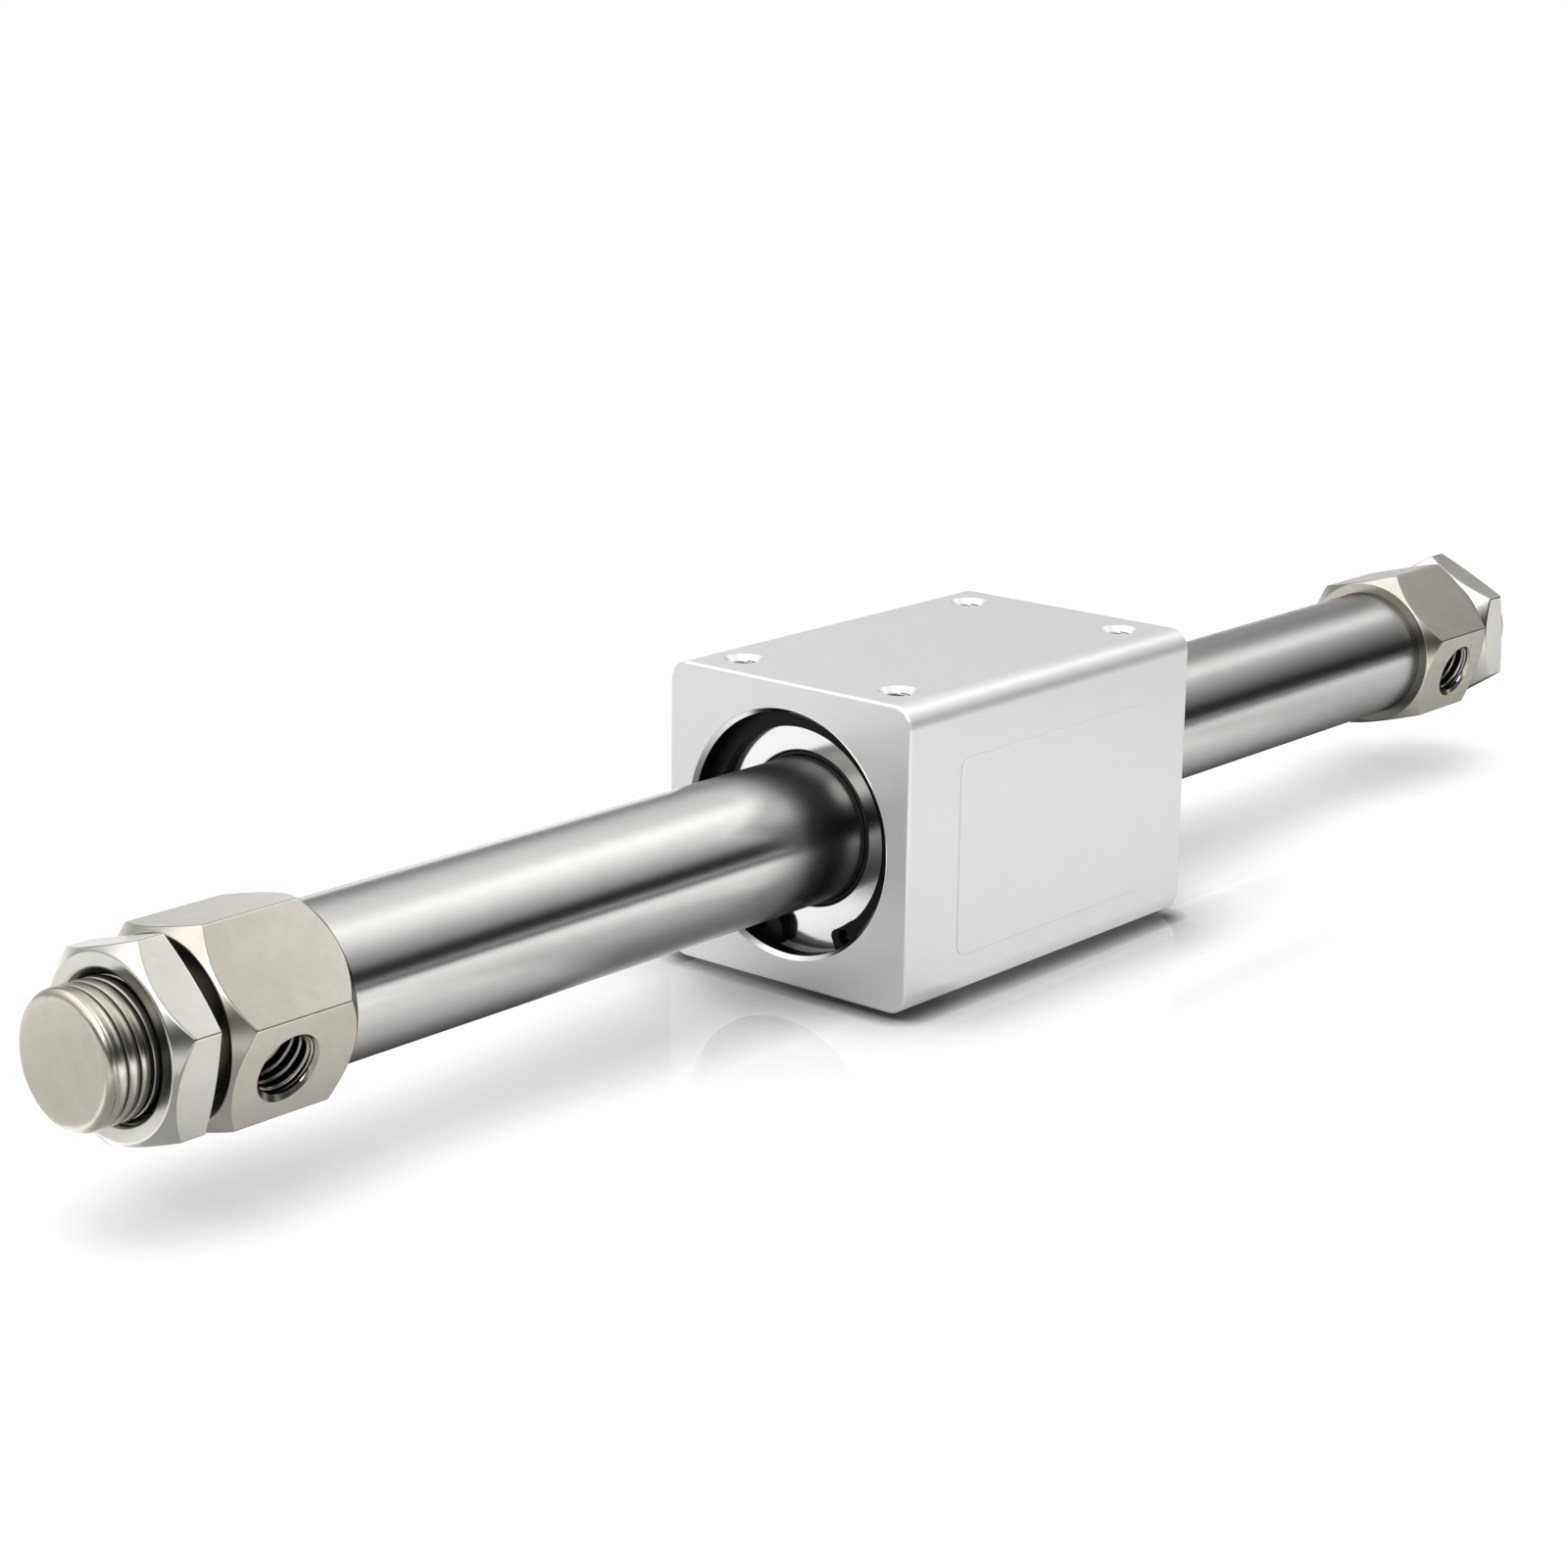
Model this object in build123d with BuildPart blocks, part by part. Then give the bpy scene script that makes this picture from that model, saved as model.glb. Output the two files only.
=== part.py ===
from build123d import *
import math
import os

# Rodless pneumatic cylinder with a magnetically coupled slider, bore 10 mm, stroke 100 mm.
# Millimetres. The origin is on the tube axis at mid length, +X runs along the tube, +Z is up.

# Clearances
RUNNING_GAP = 0.05  # radial, between pieces that slide or turn on each other
END_PLAY = 0.1  # along the tube, between pieces that turn on each other

# Tube
BORE_RADIUS = 5.0
TUBE_WALL = 1.0
TUBE_RADIUS = BORE_RADIUS + TUBE_WALL
STROKE = 100.0
REST_X = 0.8  # the slider and the piston stand this far from mid stroke in the photo

# Slider
SLIDER_LENGTH = 38.0
SLIDER_WIDTH = 25.0
SLIDER_WALL = 2.5  # between the bore and each flat side
SLIDER_EDGE_RADIUS = 1.8
SLIDER_END_CHAMFER = 0.25
SLIDER_BORE_RADIUS = SLIDER_WIDTH / 2 - SLIDER_WALL
SLIDER_BORE_CHAMFER = 0.4
SLIDER_HALF = SLIDER_LENGTH / 2
TOP_HOLE_PITCH_X = 30.0
TOP_HOLE_PITCH_Y = 16.0
TOP_HOLE_RADIUS = 1.25  # tapping size for M3
TOP_HOLE_DEPTH = 4.5
TOP_HOLE_CHAMFER = 0.35

# Retaining rings in the slider bore
RING_THICKNESS = 1.0
RING_WIDTH = 1.9
RING_FRONT_DEPTH = 1.6  # below the slider's end face
RING_SEAT_GAP = 0.05  # between the ring and its groove's floor
RING_GAP_FROM = -92.0  # degrees about the tube, from -Y towards +Z
RING_GAP_TO = -65.0
RING_LUGS = ((-114.0, -100.5), (-57.0, -47.0))  # from one round end's centre to the other's
RING_LUG_REACH = (0.7, 0.15)  # inwards of the ring
RING_LUG_HOLE_ANGLES = (-107.5, -57.0)
RING_LUG_HOLE_RADIUS = 0.6
RING_LUG_HOLE_INSET = 1.2  # from the ring's outer edge
GROOVE_DEPTH = 0.5
GROOVE_RADIUS = SLIDER_BORE_RADIUS + GROOVE_DEPTH
GROOVE_WIDTH = RING_THICKNESS + 2 * RUNNING_GAP
RING_OUTER_RADIUS = GROOVE_RADIUS - RING_SEAT_GAP
RING_INNER_RADIUS = RING_OUTER_RADIUS - RING_WIDTH

# Guide and seal cartridge in each slider end
CARTRIDGE_LENGTH = 6.4
SPACER_SHARE = 0.6  # of the room between tube and bore, and the rings have the rest
SPACER_WALL = SPACER_SHARE * (SLIDER_BORE_RADIUS - TUBE_RADIUS)
CARTRIDGE_RADIUS = SLIDER_BORE_RADIUS - SPACER_WALL
SPACER_END = SLIDER_HALF - RING_FRONT_DEPTH - RING_THICKNESS
SPACER_HOLE_GAP = 0.4  # round the tube
SPACER_LIP = 1.0
LUBE_RETAINER_LENGTH = 0.9
SCRAPER_FOOT_LENGTH = 0.9
SCRAPER_FOOT_GAP = 0.45  # round the tube
SCRAPER_LIP_GAP = 0.08  # inside the spacer's hole
WEAR_RING_LENGTH = (
    CARTRIDGE_LENGTH
    - SPACER_LIP
    - LUBE_RETAINER_LENGTH
    - SCRAPER_FOOT_LENGTH
    - 4 * END_PLAY
)

# Magnet stacks: four yokes with three magnets between them, inside and outside the tube
STACK_HALF = SPACER_END - CARTRIDGE_LENGTH
YOKE_LENGTH = 2.0
MAGNET_LENGTH = (2 * STACK_HALF - 4 * YOKE_LENGTH) / 3
OUTER_STACK_GAP = 0.5  # round the tube
INNER_STACK_GAP = 0.3  # inside the tube
INNER_STACK_RADIUS = BORE_RADIUS - INNER_STACK_GAP

# Piston
SHAFT_RADIUS = 1.5
PISTON_LENGTH = 5.9
PISTON_SEAL_FROM = 1.3  # from the magnet stack
PISTON_SEAL_LENGTH = 1.8
PISTON_SEAL_DEPTH = 0.8
PISTON_WEAR_RING_FROM = 3.7
PISTON_WEAR_RING_LENGTH = 1.4
PISTON_WEAR_RING_DEPTH = 0.45
PISTON_NUT_FLATS = 5.5
PISTON_NUT_THICKNESS = 1.6
PISTON_POCKET_GAP = 0.12  # round the nut's corners
PISTON_POCKET_DEPTH = 2.1
PISTON_POCKET_RADIUS = PISTON_NUT_FLATS / math.sqrt(3) + PISTON_POCKET_GAP
SHAFT_SHY = 0.4  # the shaft ends this far inside the piston's face

# Head covers
SLIDER_END_GAP = 1.5  # left between slider and cover at the stroke's end
COVER_FLATS = 14.0
COVER_LENGTH = 10.9
COVER_INNER_EDGE = (0.1, 1.4)  # inset of the face's round edge, and the cone's length at a corner
COVER_OUTER_EDGE = (0.25, 1.2)
SOCKET_DEPTH = 3.4
SOCKET_END_GAP = 0.1
SPIGOT_REACH = 3.0  # past the cover's inner face
GASKET_AT = 0.8  # past the cover's inner face
GASKET_CORD_RADIUS = 0.4
GASKET_GROOVE_WIDTH = 1.2
CUSHION_THICKNESS = 1.5
CUSHION_GAP = 0.4  # inside the tube
CUSHION_SEAT_RADIUS = 2.7
CUSHION_SEAT_LENGTH = 1.0
PASSAGE_RADIUS = 1.5
PORT_RADIUS = 2.1  # tapping size for M5
PORT_FROM_END = 4.9  # from the cover's outer face
PORT_FLOOR = 2.6  # from the tube axis
PORT_CHAMFER = 0.55
PORT_PASSAGE_RADIUS = 1.2
COVER_VERTEX_ANGLE = {"left": 10.5, "right": 15.0}  # degrees from -Y towards +Z

# Threaded noses and their mounting nuts
NOSE_RADIUS = 5.0
NOSE_LENGTH = 8.4
NOSE_END_CHAMFER = 0.7
NOSE_RELIEF_DEPTH = 0.55
NOSE_RELIEF_LENGTH = 0.8
NUT_FLATS = 13.5
NUT_THICKNESS = 3.7
NUT_DEEP_EDGE = (0.25, 1.15)  # inset of the face's round edge, and the cone's length at a corner
NUT_SHALLOW_EDGE = (0.5, 0.35)
NUT_EDGES = {  # at the face next to the cover, and at the other one
    "left": (NUT_SHALLOW_EDGE, NUT_DEEP_EDGE),
    "right": (NUT_DEEP_EDGE, NUT_SHALLOW_EDGE),
}
NUT_MOUTH_CHAMFER = 0.85
NUT_STANDOFF = {"left": 1.0, "right": 0.75}  # from the cover's outer face at rest
NUT_VERTEX_ANGLE = {"left": 15.2, "right": 34.0}

# Stations along the tube
COVER_INNER = STROKE / 2 + SLIDER_HALF + SLIDER_END_GAP
COVER_OUTER = COVER_INNER + COVER_LENGTH
SOCKET_FLOOR = COVER_INNER + SOCKET_DEPTH
TUBE_HALF = SOCKET_FLOOR - SOCKET_END_GAP
SPIGOT_END = COVER_INNER - SPIGOT_REACH
SIDES = {"left": -1, "right": 1}

os.makedirs("parts", exist_ok=True)


def save(part, label):
    """Name a finished part and write it as STEP."""
    part.label = label
    export_step(part, f"parts/{label}.step")


def turn(points, side=1, shift=0.0):
    """Turn a closed outline of (x, radius) points about the tube axis."""
    with BuildSketch(Plane.XY) as outline:
        with BuildLine():
            Polyline(*[(side * x + shift, radius) for x, radius in points], close=True)
        make_face()
    revolve(outline.sketch, axis=Axis.X)


def cut_turned(points, side=1, shift=0.0):
    """Turn a closed outline about the tube axis and cut it away."""
    with BuildSketch(Plane.XY) as outline:
        with BuildLine():
            Polyline(*[(side * x + shift, radius) for x, radius in points], close=True)
        make_face()
    revolve(outline.sketch, axis=Axis.X, mode=Mode.SUBTRACT)


def across(angle):
    """Direction across the tube, for an angle in degrees from -Y towards +Z."""
    turned = math.radians(angle)
    return Vector(0, -math.cos(turned), math.sin(turned))


def hexagon(flats, start, length, angle, side):
    """Add a hexagonal bar along the tube with one corner at the given angle."""
    corner = flats / math.sqrt(3)
    corners = [across(angle + 60 * n) * corner for n in range(6)]
    face = Face(Wire.make_polygon([v + Vector(side * start, 0, 0) for v in corners]))
    extrude(face, amount=length, dir=(side, 0, 0))


def chamfered_ends(flats, start, length, first, second, side):
    """Round the corners of a hexagonal bar off with a cone at each end.

    Each end is given as how far the face's round edge lies inside the flats, and how long the
    cone is at a corner.
    """
    corner = flats / math.sqrt(3)
    slack = 1.0
    reach = corner + slack
    first_radius = flats / 2 - first[0]
    second_radius = flats / 2 - second[0]
    first_cone = first[1] * (reach - first_radius) / (corner - first_radius)
    second_cone = second[1] * (reach - second_radius) / (corner - second_radius)
    outline = [
        (start, 0),
        (start, first_radius),
        (start + first_cone, reach),
        (start + length - second_cone, reach),
        (start + length, second_radius),
        (start + length, 0),
    ]
    with BuildSketch(Plane.XY) as profile:
        with BuildLine():
            Polyline(*[(side * x, radius) for x, radius in outline], close=True)
        make_face()
    revolve(profile.sketch, axis=Axis.X, mode=Mode.INTERSECT)


# Tube
with BuildPart() as tube:
    turn([
        (-TUBE_HALF, BORE_RADIUS),
        (TUBE_HALF, BORE_RADIUS),
        (TUBE_HALF, TUBE_RADIUS),
        (-TUBE_HALF, TUBE_RADIUS),
    ])
save(tube.part, "tube")

# Slider body: a square block with rounded long edges, bored through for the magnets
with BuildPart() as slider_body:
    with Locations((REST_X, 0, 0)):
        Box(SLIDER_LENGTH, SLIDER_WIDTH, SLIDER_WIDTH)
    fillet(slider_body.edges().filter_by(Axis.X), radius=SLIDER_EDGE_RADIUS)
    end_faces = slider_body.faces().filter_by(Axis.X)
    chamfer(end_faces.edges(), length=SLIDER_END_CHAMFER)
    cut_turned([
        (-SLIDER_HALF, 0),
        (-SLIDER_HALF, SLIDER_BORE_RADIUS),
        (SLIDER_HALF, SLIDER_BORE_RADIUS),
        (SLIDER_HALF, 0),
    ], shift=REST_X)
    groove_far = SPACER_END - RUNNING_GAP + GROOVE_WIDTH
    for side in SIDES.values():
        cut_turned([
            (groove_far - GROOVE_WIDTH, SLIDER_BORE_RADIUS - 1),
            (groove_far - GROOVE_WIDTH, GROOVE_RADIUS),
            (groove_far, GROOVE_RADIUS),
            (groove_far, SLIDER_BORE_RADIUS - 1),
        ], side, REST_X)
        cut_turned([
            (SLIDER_HALF - SLIDER_BORE_CHAMFER, SLIDER_BORE_RADIUS - 1),
            (SLIDER_HALF - SLIDER_BORE_CHAMFER, SLIDER_BORE_RADIUS),
            (SLIDER_HALF, SLIDER_BORE_RADIUS + SLIDER_BORE_CHAMFER),
            (SLIDER_HALF, SLIDER_BORE_RADIUS - 1),
        ], side, REST_X)
    with Locations((REST_X, 0, SLIDER_WIDTH / 2)):
        with GridLocations(TOP_HOLE_PITCH_X, TOP_HOLE_PITCH_Y, 2, 2):
            CounterSinkHole(
                TOP_HOLE_RADIUS,
                TOP_HOLE_RADIUS + TOP_HOLE_CHAMFER,
                depth=TOP_HOLE_DEPTH,
                counter_sink_angle=90,
            )
save(slider_body.part, "slider_body")

# Retaining rings: a sprung ring, open near the bottom, with a holed lug at each end
for name, side in SIDES.items():
    with BuildPart() as retaining_ring:
        near = SPACER_END if side > 0 else -SPACER_END - RING_THICKNESS
        # sketch x runs along -Y and sketch y along +Z, as the ring's angles do
        flat = Plane(origin=(REST_X + near, 0, 0), x_dir=(0, -1, 0), z_dir=(-1, 0, 0))
        with BuildSketch(flat):
            Circle(RING_OUTER_RADIUS)
            Circle(RING_INNER_RADIUS, mode=Mode.SUBTRACT)
            for (lug_from, lug_to), reach in zip(RING_LUGS, RING_LUG_REACH):
                lug_width = RING_WIDTH + reach
                lug_at = RING_OUTER_RADIUS - lug_width / 2
                lug_path = CenterArc(
                    (0, 0),
                    lug_at,
                    lug_from,
                    lug_to - lug_from,
                    mode=Mode.PRIVATE,
                )
                SlotArc(lug_path, lug_width)
            with BuildLine():
                far_end = 2 * RING_OUTER_RADIUS
                Polyline(
                    (0, 0),
                    (
                        far_end * math.cos(math.radians(RING_GAP_FROM)),
                        far_end * math.sin(math.radians(RING_GAP_FROM)),
                    ),
                    (
                        far_end * math.cos(math.radians(RING_GAP_TO)),
                        far_end * math.sin(math.radians(RING_GAP_TO)),
                    ),
                    close=True,
                )
            make_face(mode=Mode.SUBTRACT)
            for angle in RING_LUG_HOLE_ANGLES:
                lug_hole_at = RING_OUTER_RADIUS - RING_LUG_HOLE_INSET
                with PolarLocations(lug_hole_at, 1, start_angle=angle):
                    Circle(RING_LUG_HOLE_RADIUS, mode=Mode.SUBTRACT)
            Circle(RING_OUTER_RADIUS, mode=Mode.INTERSECT)
        extrude(amount=-RING_THICKNESS)
    save(retaining_ring.part, f"{name}_retaining_ring")

# Outer and inner magnet stacks
yoke_starts = [n * (YOKE_LENGTH + MAGNET_LENGTH) - STACK_HALF for n in range(4)]
magnet_starts = [start + YOKE_LENGTH for start in yoke_starts[:3]]
stacks = {
    "outer": (TUBE_RADIUS + OUTER_STACK_GAP, SLIDER_BORE_RADIUS),
    "inner": (SHAFT_RADIUS, INNER_STACK_RADIUS),
}
pieces = [("yoke", YOKE_LENGTH, yoke_starts), ("magnet", MAGNET_LENGTH, magnet_starts)]
for stack, (inside, outside) in stacks.items():
    for kind, length, starts in pieces:
        for number, start in enumerate(starts, 1):
            with BuildPart() as disc:
                turn([
                    (start, inside),
                    (start, outside),
                    (start + length, outside),
                    (start + length, inside),
                ], shift=REST_X)
            save(disc.part, f"{stack}_{kind}_{number}")

# Spacers with the guide and seal cartridge that slides on the tube
slide_radius = TUBE_RADIUS + RUNNING_GAP
pocket_radius = CARTRIDGE_RADIUS - RUNNING_GAP
spacer_hole_radius = TUBE_RADIUS + SPACER_HOLE_GAP
scraper_lip_radius = spacer_hole_radius - SCRAPER_LIP_GAP
lip_inner = SPACER_END - SPACER_LIP
wear_from = STACK_HALF + END_PLAY
wear_to = wear_from + WEAR_RING_LENGTH
lube_to = wear_to + END_PLAY + LUBE_RETAINER_LENGTH
foot_to = lube_to + END_PLAY + SCRAPER_FOOT_LENGTH
for name, side in SIDES.items():
    with BuildPart() as spacer:
        turn([
            (STACK_HALF, CARTRIDGE_RADIUS),
            (STACK_HALF, SLIDER_BORE_RADIUS),
            (SPACER_END, SLIDER_BORE_RADIUS),
            (SPACER_END, spacer_hole_radius),
            (lip_inner, spacer_hole_radius),
            (lip_inner, CARTRIDGE_RADIUS),
        ], side, REST_X)
    save(spacer.part, f"{name}_spacer")

    with BuildPart() as outer_wear_ring:
        turn([
            (wear_from, slide_radius),
            (wear_from, pocket_radius),
            (wear_to, pocket_radius),
            (wear_to, slide_radius),
        ], side, REST_X)
    save(outer_wear_ring.part, f"{name}_outer_wear_ring")

    with BuildPart() as lube_retainer:
        turn([
            (wear_to + END_PLAY, slide_radius),
            (wear_to + END_PLAY, pocket_radius),
            (lube_to, pocket_radius),
            (lube_to, slide_radius),
        ], side, REST_X)
    save(lube_retainer.part, f"{name}_lube_retainer")

    with BuildPart() as scraper:
        turn([
            (lube_to + END_PLAY, TUBE_RADIUS + SCRAPER_FOOT_GAP),
            (lube_to + END_PLAY, pocket_radius),
            (foot_to, pocket_radius),
            (foot_to, scraper_lip_radius),
            (SPACER_END - END_PLAY, scraper_lip_radius),
            (SPACER_END - END_PLAY, slide_radius),
        ], side, REST_X)
    save(scraper.part, f"{name}_scraper")

# Piston: a shaft through the inner magnets with a sealed piston head at each end
with BuildPart() as piston_shaft:
    shaft_end = STACK_HALF + PISTON_LENGTH - SHAFT_SHY
    turn([
        (-shaft_end, 0),
        (-shaft_end, SHAFT_RADIUS),
        (shaft_end, SHAFT_RADIUS),
        (shaft_end, 0),
    ], shift=REST_X)
save(piston_shaft.part, "piston_shaft")

seal_from = PISTON_SEAL_FROM
seal_to = seal_from + PISTON_SEAL_LENGTH
seal_floor = INNER_STACK_RADIUS - PISTON_SEAL_DEPTH
ring_from = PISTON_WEAR_RING_FROM
ring_to = ring_from + PISTON_WEAR_RING_LENGTH
ring_floor = INNER_STACK_RADIUS - PISTON_WEAR_RING_DEPTH
running_radius = BORE_RADIUS - RUNNING_GAP
head = STACK_HALF
head_end = STACK_HALF + PISTON_LENGTH
pocket_from = head_end - PISTON_POCKET_DEPTH
for name, side in SIDES.items():
    with BuildPart() as piston:
        turn([
            (head, SHAFT_RADIUS),
            (head, INNER_STACK_RADIUS),
            (head + seal_from, INNER_STACK_RADIUS),
            (head + seal_from, seal_floor),
            (head + seal_to, seal_floor),
            (head + seal_to, INNER_STACK_RADIUS),
            (head + ring_from, INNER_STACK_RADIUS),
            (head + ring_from, ring_floor),
            (head + ring_to, ring_floor),
            (head + ring_to, INNER_STACK_RADIUS),
            (head_end, INNER_STACK_RADIUS),
            (head_end, PISTON_POCKET_RADIUS),
            (pocket_from, PISTON_POCKET_RADIUS),
            (pocket_from, SHAFT_RADIUS),
        ], side, REST_X)
    save(piston.part, f"{name}_piston")

    with BuildPart() as piston_seal:
        turn([
            (head + seal_from, seal_floor),
            (head + seal_to, seal_floor),
            (head + seal_to, seal_floor + 0.3),
            (head + seal_from + 0.8, seal_floor + 0.45),
            (head + seal_to - 0.15, running_radius),
            (head + seal_to - 0.5, running_radius),
            (head + seal_from, seal_floor + 0.7),
        ], side, REST_X)
    save(piston_seal.part, f"{name}_piston_seal")

    with BuildPart() as piston_wear_ring:
        turn([
            (head + ring_from, ring_floor),
            (head + ring_from, running_radius),
            (head + ring_to, running_radius),
            (head + ring_to, ring_floor),
        ], side, REST_X)
    save(piston_wear_ring.part, f"{name}_piston_wear_ring")

    with BuildPart() as piston_nut:
        hexagon(PISTON_NUT_FLATS, pocket_from, PISTON_NUT_THICKNESS, 0, side)
        cut_turned([
            (pocket_from, 0),
            (pocket_from, SHAFT_RADIUS),
            (head_end, SHAFT_RADIUS),
            (head_end, 0),
        ], side)
    save(piston_nut.part.moved(Location((REST_X, 0, 0))), f"{name}_piston_nut")

# Head covers: hexagonal, with the tube's socket, an air port and a threaded nose
for name, side in SIDES.items():
    vertex = COVER_VERTEX_ANGLE[name]
    port_out = across(vertex - 30)
    port_x = side * (COVER_OUTER - PORT_FROM_END)
    gasket_x = COVER_INNER - GASKET_AT
    with BuildPart() as head_cover:
        hexagon(COVER_FLATS, COVER_INNER, COVER_LENGTH, vertex, side)
        chamfered_ends(
            COVER_FLATS,
            COVER_INNER,
            COVER_LENGTH,
            COVER_INNER_EDGE,
            COVER_OUTER_EDGE,
            side,
        )
        cut_turned([
            (COVER_INNER, 0),
            (COVER_INNER, TUBE_RADIUS),
            (SOCKET_FLOOR, TUBE_RADIUS),
            (SOCKET_FLOOR, 0),
        ], side)
        turn([
            (SOCKET_FLOOR + 0.5, 0),
            (SOCKET_FLOOR + 0.5, BORE_RADIUS),
            (gasket_x + GASKET_GROOVE_WIDTH / 2, BORE_RADIUS),
            (gasket_x + GASKET_GROOVE_WIDTH / 2, BORE_RADIUS - 2 * GASKET_CORD_RADIUS),
            (gasket_x - GASKET_GROOVE_WIDTH / 2, BORE_RADIUS - 2 * GASKET_CORD_RADIUS),
            (gasket_x - GASKET_GROOVE_WIDTH / 2, BORE_RADIUS),
            (SPIGOT_END, BORE_RADIUS),
            (SPIGOT_END, CUSHION_SEAT_RADIUS),
            (SPIGOT_END - CUSHION_SEAT_LENGTH, CUSHION_SEAT_RADIUS),
            (SPIGOT_END - CUSHION_SEAT_LENGTH, 0),
        ], side)
        nose_end = COVER_OUTER + NOSE_LENGTH
        turn([
            (COVER_OUTER - 0.5, 0),
            (COVER_OUTER - 0.5, NOSE_RADIUS - NOSE_RELIEF_DEPTH),
            (COVER_OUTER + NOSE_RELIEF_LENGTH, NOSE_RADIUS - NOSE_RELIEF_DEPTH),
            (COVER_OUTER + NOSE_RELIEF_LENGTH, NOSE_RADIUS),
            (nose_end - NOSE_END_CHAMFER, NOSE_RADIUS),
            (nose_end, NOSE_RADIUS - NOSE_END_CHAMFER),
            (nose_end, 0),
        ], side)
        passage_end = COVER_OUTER - PORT_FROM_END + PASSAGE_RADIUS
        cut_turned([
            (SPIGOT_END - CUSHION_SEAT_LENGTH, 0),
            (SPIGOT_END - CUSHION_SEAT_LENGTH, PASSAGE_RADIUS),
            (passage_end, PASSAGE_RADIUS),
            (passage_end, 0),
        ], side)
        mouth = Plane(
            origin=Vector(port_x, 0, 0) + port_out * (COVER_FLATS / 2),
            x_dir=(1, 0, 0),
            z_dir=port_out,
        )
        with Locations(mouth):
            CounterSinkHole(
                PORT_RADIUS,
                PORT_RADIUS + PORT_CHAMFER,
                depth=COVER_FLATS / 2 - PORT_FLOOR,
                counter_sink_angle=90,
            )
            Hole(PORT_PASSAGE_RADIUS, depth=COVER_FLATS / 2)
    save(head_cover.part, f"{name}_head_cover")

    with BuildPart() as tube_gasket:
        with BuildSketch(Plane.XY):
            with Locations((side * gasket_x, BORE_RADIUS - GASKET_CORD_RADIUS)):
                Circle(GASKET_CORD_RADIUS)
        revolve(axis=Axis.X)
    save(tube_gasket.part, f"{name}_tube_gasket")

    with BuildPart() as bumper:
        turn([
            (SPIGOT_END, CUSHION_SEAT_RADIUS),
            (SPIGOT_END, BORE_RADIUS - CUSHION_GAP),
            (SPIGOT_END - CUSHION_THICKNESS, BORE_RADIUS - CUSHION_GAP),
            (SPIGOT_END - CUSHION_THICKNESS, CUSHION_SEAT_RADIUS),
        ], side)
    save(bumper.part, f"{name}_bumper")

    nut_from = COVER_OUTER + NUT_STANDOFF[name]
    nut_to = nut_from + NUT_THICKNESS
    nut_bore = NOSE_RADIUS + RUNNING_GAP
    with BuildPart() as mounting_nut:
        hexagon(NUT_FLATS, nut_from, NUT_THICKNESS, NUT_VERTEX_ANGLE[name], side)
        chamfered_ends(
            NUT_FLATS,
            nut_from,
            NUT_THICKNESS,
            *NUT_EDGES[name],
            side,
        )
        cut_turned([
            (nut_from, 0),
            (nut_from, nut_bore + NUT_MOUTH_CHAMFER),
            (nut_from + NUT_MOUTH_CHAMFER, nut_bore),
            (nut_to - NUT_MOUTH_CHAMFER, nut_bore),
            (nut_to, nut_bore + NUT_MOUTH_CHAMFER),
            (nut_to, 0),
        ], side)
    save(mounting_nut.part, f"{name}_mounting_nut")
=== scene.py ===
"""Dressed model of a rodless pneumatic cylinder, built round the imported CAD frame.

Lengths in the classes are millimetres. The origin is on the tube's axis at mid length, +X runs along
the tube towards the far head cover and +Z is up. Angles round the tube are given by the right-hand
rule about +X, from +Y towards +Z.
"""

import logging
import math
from dataclasses import dataclass, field
from enum import Enum

import bmesh
import bpy
import numpy as np
from mathutils import Matrix, Vector

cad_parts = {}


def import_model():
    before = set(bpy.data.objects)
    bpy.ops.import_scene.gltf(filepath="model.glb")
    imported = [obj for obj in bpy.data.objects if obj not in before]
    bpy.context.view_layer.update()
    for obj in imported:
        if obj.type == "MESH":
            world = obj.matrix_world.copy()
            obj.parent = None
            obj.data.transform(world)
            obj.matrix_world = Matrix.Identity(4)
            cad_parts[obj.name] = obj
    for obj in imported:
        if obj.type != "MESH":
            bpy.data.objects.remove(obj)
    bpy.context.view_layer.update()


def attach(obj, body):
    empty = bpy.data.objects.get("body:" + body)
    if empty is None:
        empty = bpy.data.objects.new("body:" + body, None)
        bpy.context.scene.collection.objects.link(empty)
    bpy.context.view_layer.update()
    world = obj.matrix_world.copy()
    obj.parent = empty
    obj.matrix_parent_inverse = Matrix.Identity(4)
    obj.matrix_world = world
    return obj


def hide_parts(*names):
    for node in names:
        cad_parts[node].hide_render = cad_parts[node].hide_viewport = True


Socket = bpy.types.NodeSocket
Value = float | Socket
Color = tuple[float, ...] | Socket
Profile = list[tuple[float, float]]
Stops = tuple[tuple[float, float], ...]

LOG = logging.getLogger("rodless_cylinder")
MM = 0.001
TURN = 2.0 * math.pi
TINY = 1e-9
WELD_MM = 0.0004  # points this close become one
SMOOTH_BELOW = math.radians(38.0)  # edges that bend less are shaded smooth
CURVE_SHARE = 0.36  # the most of a side that one corner's curve takes
GUARD_AT = 1.3  # where the ring that keeps a flat flat lies, in cuts from the corner
HEXAGON_STEPS = (22, 6)  # columns along a flat and steps round a corner
SHADE_CUP_COLUMNS = 72
SHADE_CUP_SKIN = 0.03
LENGTHWISE = "lengthwise"  # the map that draws highlights out along the tube
MAP_LENGTH = 0.05  # metres along the tube to one unit of that map
PATTERN_SPAN = (0.2, 0.8)  # the part of a pattern's range that changes the roughness
LEAST_ROUGHNESS = 0.02


class Side(Enum):
    """The two ends of the tube, with the sign of their X."""

    LEFT = -1
    RIGHT = 1

    @property
    def label(self) -> str:
        """Name used in the CAD nodes."""
        return self.name.lower()


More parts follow.
